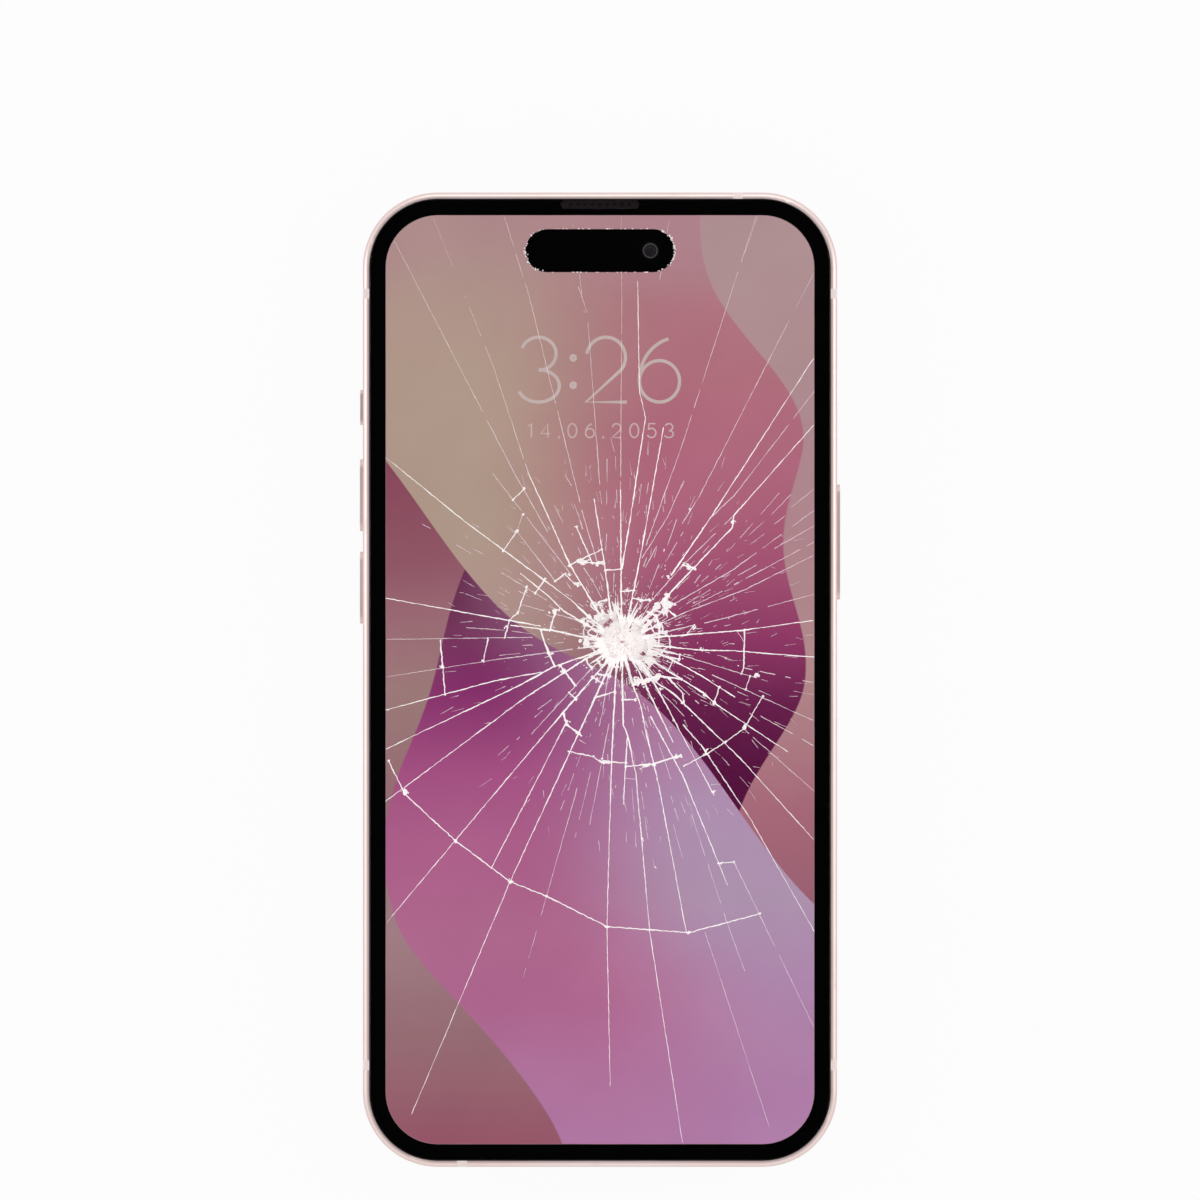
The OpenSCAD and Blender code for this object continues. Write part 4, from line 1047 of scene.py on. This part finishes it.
def in_chink(angle, radius, spread=1.0):
    """Whether a place lies in one of the chinks of the core."""
    spot = polar(angle, radius)
    for chink_angle, distance, half_long, half_wide in CHINKS:
        away = (spot - polar(chink_angle, distance)) / MM
        local = turned(away.x, away.y, -math.radians(chink_angle))
        if math.hypot(local.x / half_long, local.y / half_wide) < spread:
            return True
    return False


def pit_height(radius_mm):
    """How high the floor of the crushed pit lies at a distance from the blow."""
    flat = PIT_R * 0.25
    return GLASS_TOP - PIT_DEPTH + max(radius_mm * MM - flat, 0) / (PIT_R - flat) * PIT_DEPTH


def make_bed(rng, powder):
    """The bed of powder in the pit, with chinks left open in it."""
    bed = Heap()
    rings = 22
    shares = [ring / rings for ring in range(rings + 1)]
    count = 150
    reach = [core_reach(360 * k / count) + rng.uniform(-0.45, 0.25) for k in range(count)]
    for share in shares:
        for k in range(count):
            radius = max(reach[k] * share + rng.uniform(-0.06, 0.06) * (0.1 < share < 1), 0.02)
            point = polar(360 * k / count, radius)
            height = pit_height(radius) + rng.uniform(0.03, 0.12) * MM
            bed.vertices.append((point.x, point.y, min(height, MARK_TOP - 0.08 * MM)))
    for ring in range(rings):
        for k in range(count):
            middle = (shares[ring] + shares[ring + 1]) / 2
            if not in_chink(360 * (k + 0.5) / count, reach[k] * middle):
                bed.faces.append(ring_face(ring, k, count))
    bed.piece("core_powder", powder)


def make_core(powder, white):
    """The crushed core: a bed of powder, spikes that run out of it, and splinters heaped in the pit."""
    rng = random.Random(SEED + 3)
    make_bed(rng, powder)
    spikes = Heap(MARK_TOP - 0.1 * MM, MARK_TOP, rng)
    for _ in range(SPIKES):
        angle = rng.uniform(0, 360)
        start = core_reach(angle) - rng.uniform(0.3, 1.2)
        length = rng.uniform(0.8, 1.6) + 2.6 * rng.random() ** 3
        lean = rng.uniform(-5, 5)
        if any(in_chink(angle, start + step * 0.25, 1.2) for step in range(5)):
            continue
        path = [polar(angle, start), polar(angle + lean, start + length)]
        spikes.crack(path, (rng.uniform(0.2, 0.55) * MM, 0.06 * MM), 0.03)
    spikes.piece("core_spikes", white)

    heap = Heap(rng=rng)
    for _ in range(SPLINTERS):
        angle = rng.uniform(0, 360)
        limit = min(core_reach(angle), PIT_R / MM) - 0.15
        radius = limit * math.sqrt(rng.random())
        size = rng.uniform(0.1, 0.3) * MM
        if rng.random() < 0.12:
            size *= 1.9
        if in_chink(angle, radius, 1.15) and rng.random() < 0.9:
            continue
        spot = polar(angle, radius)
        height = min(pit_height(radius) + rng.uniform(0.05, 0.2) * MM, MARK_TOP - size * 0.6)
        heap.shard(Vector((spot.x, spot.y, height)), size, math.radians(angle))
    heap.piece("core_splinters", white)


def make_pill_crumbs(white):
    """Crumbs of glass caught round the black camera window."""
    rng = random.Random(SEED + 4)
    heap = Heap(GLASS_TOP - 0.12 * MM, MARK_TOP, rng)
    half = PILL_W / 2
    arm = PILL_LEN / 2 - half
    for side, count in ((1, 70), (-1, 45)):
        for _ in range(count):
            turn = math.radians(rng.triangular(-88, 88, -20))
            reach = half + rng.gauss(0.02, 0.09) * MM
            step = Vector((side * math.cos(turn), math.sin(turn))) * reach
            size = rng.uniform(0.08, 0.3) * MM
            long = rng.uniform(0.5, 1.4)
            heap.blob(PILL + Vector((side * arm, 0)) + step, size, long, turn, 6)
    for _ in range(40):
        spot = PILL + Vector((rng.uniform(-arm, arm), rng.choice((-1, 1)) * (half + 0.03 * MM)))
        heap.blob(spot, rng.uniform(0.06, 0.2) * MM, 2.0, CROSSWISE, 6)
    heap.piece("pill_crumbs", white)


# ---- details of the screen ----

def arc(centre_x, centre_y, reach_x, reach_y, start, end, steps=22):
    """Points along part of an ellipse, angles in degrees."""
    points = []
    for k in range(steps + 1):
        turn = math.radians(start + (end - start) * k / steps)
        points.append((centre_x + reach_x * math.cos(turn), centre_y + reach_y * math.sin(turn)))
    return points


# Thin-stroke numerals one unit high: a width, and a list of strokes.
NUMERALS = {
    "0": (0.62, [arc(0.31, 0.5, 0.31, 0.5, 0, 360, 40)]),
    "1": (0.4, [[(0.1, 0.82), (0.36, 1.0), (0.36, 0.0)]]),
    "2": (0.63, [arc(0.31, 0.69, 0.3, 0.31, 170, -38) + [(0.0, 0.0), (0.63, 0.0)]]),
    "3": (0.63, [arc(0.29, 0.745, 0.27, 0.255, 160, -90), arc(0.29, 0.25, 0.32, 0.25, 90, -160)]),
    "4": (0.66, [[(0.49, 0.0), (0.49, 1.0), (0.0, 0.28), (0.66, 0.28)]]),
    "5": (0.6, [[(0.56, 1.0), (0.1, 1.0), (0.06, 0.55)] + arc(0.28, 0.33, 0.32, 0.33, 132, -155)]),
    "6": (0.63, [arc(0.62, 0.34, 0.62, 0.66, 106, 180, 14), arc(0.31, 0.32, 0.31, 0.32, 0, 360, 34)]),
    ":": (0.0, [arc(0.0, y, 0.035, 0.035, 0, 360, 10) for y in (0.26, 0.68)]),
    ".": (0.0, [arc(0.0, 0.02, 0.03, 0.03, 0, 360, 10)]),
}


def write_numerals(name, text, centre_y, height, stroke, gap, glow):
    """A centred line of numerals as flat strokes just above the lit panel; sizes in millimetres."""
    heap = Heap(SCREEN_Z + 0.005 * MM, SCREEN_Z + 0.02 * MM)
    height *= MM
    stroke *= MM
    gap *= MM
    x = -(sum(NUMERALS[mark][0] * height for mark in text) + gap * (len(text) - 1)) / 2
    for mark in text:
        width, strokes = NUMERALS[mark]
        for path in strokes:
            points = [Vector((x + px * height, centre_y * MM + (py - 0.5) * height)) for px, py in path]
            heap.strip(points, [stroke] * len(points))
        x += width * height + gap
    heap.piece(name, glow, "lit_panel")


def make_picture_edge(glow):
    """The thin pale line where the picture stops under the black border."""
    heap = Heap()
    outer, inner = (rounded_outline(LIT_W + out, LIT_H + out, LIT_R + out) for out in (0.06 * MM, -0.05 * MM))
    heap.hoop(outer, inner, SCREEN_Z + 0.021 * MM, SCREEN_Z + 0.045 * MM)
    heap.piece("picture_edge", glow, "lit_panel")


def make_rings(name, centre, rings, material, slot):
    """Closed rings round a centre: (outer radius, inner radius, low, high) of each."""
    heap = Heap()
    for outer, inner, low, high in rings:
        heap.hoop(circle(centre, outer), circle(centre, inner), low, high)
    heap.piece(name, material, slot)


def make_dome(name, centre, radius, base_z, top_z, material, down=False):
    """A shallow surface of lens glass that bulges from base_z to top_z."""
    vertices = []
    rings = 8
    count = 40
    for ring in range(rings + 1):
        share = ring / rings
        height = base_z + (top_z - base_z) * math.cos(share * math.pi / 2)
        for k in range(count):
            turn = 2 * math.pi * k / count
            reach = max(radius * share, radius * 0.004)
            vertices.append((centre.x + reach * math.cos(turn), centre.y + reach * math.sin(turn), height))
    faces = [ring_face(ring, k, count) for ring in range(rings) for k in range(count)]
    faces.append(tuple(range(count)))
    if down:
        faces = [tuple(reversed(face)) for face in faces]
    return add_piece(name, vertices, faces, material, smooth=True)


def make_front_lens(barrel, glass, trim):
    """The front camera behind the glass: a dark barrel, a thin ring and a domed lens."""
    low = FRONT_LENS_LOW.z
    outer = (FRONT_LENS_HIGH.x - FRONT_LENS_LOW.x) / 2

    def up(height_mm):
        return low + height_mm * MM

    steps = [(outer, outer * 0.78, low, up(0.045)), (outer * 0.78, outer * 0.5, low, up(0.02))]
    make_rings("front_lens_barrel", FRONT_LENS, steps, barrel, "black_plastic")
    line = [(outer * 0.84, outer * 0.79, up(0.02), up(0.048))]
    make_rings("front_lens_trim", FRONT_LENS, line, trim, "grey_metal")
    lens = make_dome("front_lens_dome", FRONT_LENS, outer * 0.62, up(0.002), up(0.042), glass)
    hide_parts("front_camera_lens")


# ---- details of the back ----

def make_rear_lens(name, barrel, glass, coated, trim):
    """A rear lens in the place of its plain CAD cover: outer pane, ribbed baffle and a coated lens."""
    low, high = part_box("lens_cover_" + name)
    centre = ((low + high) / 2).xy
    outer = (high.x - low.x) / 2

    def level(share):
        return low.z + (high.z - low.z) * share

    rim = [(outer, outer * 0.9, level(0.0), level(1.0))]
    make_rings("lens_rim_" + name, centre, rim, barrel, "black_plastic")
    ribs = 7
    wide = [outer * (0.9 - 0.42 * k / ribs) for k in range(ribs + 1)]
    baffle = [(wide[k], wide[k + 1], level(0.3 + 0.09 * k), level(1.0)) for k in range(ribs)]
    make_rings("lens_baffle_" + name, centre, baffle, barrel, "black_plastic")
    lines = [(outer * 0.93, outer * 0.905, level(0.0) + 0.004 * MM, level(0.2)),
             (outer * 0.6, outer * 0.585, level(0.5), level(0.8))]
    make_rings("lens_line_" + name, centre, lines, trim, "grey_metal")
    make_dome("lens_element_" + name, centre, outer * 0.5, level(1.0), level(0.42), coated, True)
    pane = make_dome("lens_pane_" + name, centre, outer * 0.9, level(0.22), level(0.16), glass, True)
    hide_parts("lens_cover_" + name)


def make_port_contacts(metal):
    """Gold contact pads on both faces of the tongue in the charging port."""
    low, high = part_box("port_tongue")
    heap = Heap()
    count = 12
    thick = 0.02 * MM
    pitch = (high.x - low.x) * 0.86 / (count - 1)
    near = low.y + 0.15 * MM
    far = low.y + (high.y - low.y) * 0.6
    half = pitch * 0.28
    for k in range(count):
        x = (low.x + high.x) / 2 + (k - (count - 1) / 2) * pitch
        corners = ((x - half, near), (x + half, near), (x + half, far), (x - half, far))
        pad = [Vector(corner) for corner in corners]
        for face in (high.z, low.z - thick):
            heap.low = face
            heap.high = face + thick
            heap.prism(pad)
    heap.piece("port_contacts", metal, "coil_copper")


# ---- floor, light and camera ----

def make_floor():
    """A pale floor that shows white to the camera and keeps a trace of the shadow.

    It is open from below and to rays that leave the phone's back, so that the back is lit and can be seen."""
    s = Shader("studio_floor", Base_Color=srgb(240, 240, 240), Roughness=0.9)
    path = s.add("ShaderNodeLightPath").outputs
    seen = s.math("MAXIMUM", path["Is Camera Ray"], path["Is Transmission Ray"])
    shown = s.math("MAXIMUM", s.times(seen, 0.93), s.times(path["Is Glossy Ray"], 0.5))
    glow = s.add("ShaderNodeEmission").outputs[0]
    pale = s.blend(shown, s.bsdf.outputs[0], glow)
    near = s.math("LESS_THAN", path["Ray Length"], 2 * MM)
    below = s.add("ShaderNodeNewGeometry").outputs["Backfacing"]
    clear = s.add("ShaderNodeBsdfTransparent").outputs[0]
    s.surface(s.blend(s.math("MAXIMUM", near, below), pale, clear))
    mesh = bpy.data.meshes.new("floor")
    half = 3.0
    drop = -0.02 * MM
    corners = [(-half, -half, drop), (half, -half, drop), (half, half, drop), (-half, half, drop)]
    mesh.from_pydata(corners, [], [(0, 1, 2, 3)])
    mesh.materials.append(s.material)
    floor = bpy.data.objects.new("floor", mesh)
    bpy.context.scene.collection.objects.link(floor)


def make_world():
    """White where the camera sees it; a studio that is bright at the sides and dim overhead elsewhere."""
    world = bpy.data.worlds.new("studio")
    bpy.context.scene.world = world
    world.use_nodes = True
    world.node_tree.nodes.clear()
    sky = Tree(world.node_tree)
    split = sky.add("ShaderNodeSeparateXYZ")
    sky.feed(split.inputs[0], sky.add("ShaderNodeTexCoord").outputs["Generated"])
    heights = ((0.0, 1.0), (0.5, 1.0), (0.74, 0.72), (0.93, 0.53), (0.972, 0.38), (0.992, 0.08))
    greys = [(height, (level, level, level, 1.0)) for height, level in heights]
    studio = sky.made("ShaderNodeBackground", {"Color": sky.ramp(split.outputs["Z"], greys)})
    white = sky.made("ShaderNodeBackground", {"Color": (1.0, 1.0, 1.0, 1.0)})
    camera_ray = sky.add("ShaderNodeLightPath").outputs["Is Camera Ray"]
    output = sky.add("ShaderNodeOutputWorld")
    sky.feed(output.inputs["Surface"], sky.blend(camera_ray, studio, white))


def make_lamp(name, place, size, power, unlit):
    """A soft lamp that faces the phone, and that the things in the unlit collection don't mirror."""
    data = bpy.data.lights.new(name, "AREA")
    data.shape = "RECTANGLE"
    data.size = size[0]
    data.size_y = size[1]
    data.energy = power
    lamp = bpy.data.objects.new(name, data)
    lamp.location = place
    lamp.rotation_euler = (-Vector(place)).to_track_quat("-Z", "Y").to_euler()
    bpy.context.scene.collection.objects.link(lamp)
    lamp.light_linking.receiver_collection = unlit


def make_camera():
    """Straight above the screen, with the phone a little below the middle of the frame."""
    view_width = 0.181
    data = bpy.data.cameras.new("camera")
    data.sensor_width = 36
    data.lens = 200
    data.clip_start = 0.01
    camera = bpy.data.objects.new("camera", data)
    distance = view_width * data.lens / data.sensor_width
    camera.location = (0.0, 12.03 * MM, GLASS_TOP + distance)
    bpy.context.scene.collection.objects.link(camera)
    bpy.context.scene.camera = camera


# ---- putting it together ----

def make_finishes():
    """A material for each material slot of the record."""
    finishes = {
        "band_metal": make_band_metal(),
        "front_glass": make_cover_glass(),
        "black_ink": make_black_ink(),
        "lit_panel": make_lit_panel(),
        "dark_mesh": make_mesh_metal(),
        "lens_glass": make_lens_glass(),
        "rear_glass": make_rear_glass(),
        "flash_plastic": make_flash_plastic(),
        "board_resin": make_board_resin(),
        "break_plastic": make_plain(
            "break_plastic", (2.5, 4), ((246, 228, 224), (251, 238, 235)), (0.35, 0.3, (190, 172, 166)),
            (0.6, 4, 0.42, 0.58), ((0.12, 3), 0.01, 0.5), IOR=1.5),
        "black_plastic": make_plain(
            "black_plastic", (3, 4), ((7, 5, 6), (20, 16, 18)), (0.25, 0.25, (120, 110, 108)),
            (0.8, 4, 0.45, 0.65), ((0.15, 4, 0.6), 0.015, 0.5), IOR=1.45, Specular_IOR_Level=0.3),
    }
    for make, name, *looks in (
            (make_sheet_metal, "grey_metal", (176, 174, 176), (120, 118, 121), 0.34),
            (make_sheet_metal, "microphone_metal", (196, 194, 194), (150, 148, 150), 0.3),
            (make_sheet_metal, "screw_steel", (224, 206, 203), (184, 164, 162), 0.28),
            (make_film, "flex_film", (176, 106, 40), (120, 66, 24)),
            (make_film, "coil_copper", (214, 140, 84), (150, 84, 44), 0.35, 0.5),
            (make_matt_sheet, "cell_foil", (52, 52, 56), (30, 30, 33), 0.5, 0.4, 0.05),
            (make_matt_sheet, "tape", (236, 235, 230), (214, 212, 206), 0.3, 0.6, 0.02),
            (make_matt_sheet, "ferrite", (58, 58, 60), (36, 36, 38), 0.25, 0.6, 0.03),
            (make_matt_sheet, "card_plastic", (238, 238, 232), (222, 221, 214), 0.2, 0.45, 0.01)):
        finishes[name] = make(name, *looks)
    return finishes


def main():
    make_camera()
    make_world()
    make_floor()
    unlit = bpy.data.collections.new("unlit")
    unlit.objects.link(NODES["cover_glass"])
    unlit.collection_objects[0].light_linking.link_state = "EXCLUDE"
    for side in (-1, 1):
        make_lamp(f"side_lamp_{side + 1}", (side * 1.05, 0.1, 0.36), (0.3, 0.9), 0.8, unlit)
    make_lamp("far_lamp", (0.1, 1.1, 0.6), (0.9, 0.35), 1.05, unlit)

    finishes = make_finishes()
    for part in frame["record"]["subparts"]:
        finish([part["node"]], finishes[part["material_slot"]])
    buttons = ["volume_up_button", "volume_down_button", "side_button", "mute_switch"]
    finish(buttons, make_band_metal("button_metal", 0.22))

    # The last number of each fracture material is the strength of its painted glow; the pink of the pale
    # cracks is painted display light showing through them.
    white = make_fracture("fracture_white", (255, 251, 250), (243, 236, 235), 0.26)
    pale = make_fracture("fracture_pale", (252, 238, 242), (228, 208, 216), 0.12)
    powder = make_fracture("fracture_powder", (255, 248, 246), (222, 208, 207), 0.17, 1.6)
    make_open_cracks(white, pale)
    make_hairlines(pale)
    make_knots(white)
    make_core(powder, white)
    make_pill_crumbs(white)

    clock = make_glow("clock_glow", (196, 178, 174), 0.96)
    date = make_glow("date_glow", (202, 176, 173), 0.96)
    write_numerals("clock_numerals", "3:26", 46.8, 9.8, 0.5, 1.9, clock)
    write_numerals("date_numerals", "14.06.2053", 37.6, 2.1, 0.23, 1.35, date)
    make_picture_edge(make_glow("edge_glow", (176, 142, 146), 0.75))
    black = finishes["black_plastic"]
    coated = finishes["lens_glass"]
    trim = finishes["grey_metal"]
    make_front_lens(black, coated, trim)
    for name in ("main", "wide"):
        make_rear_lens(name, black, finishes["front_glass"], coated, trim)
    make_port_contacts(finishes["coil_copper"])

    scene = bpy.context.scene
    scene.view_settings.view_transform = "Standard"
    scene.cycles.max_bounces = 8
    scene.cycles.diffuse_bounces = 2
    scene.cycles.glossy_bounces = 3
    scene.cycles.transmission_bounces = 7


main()
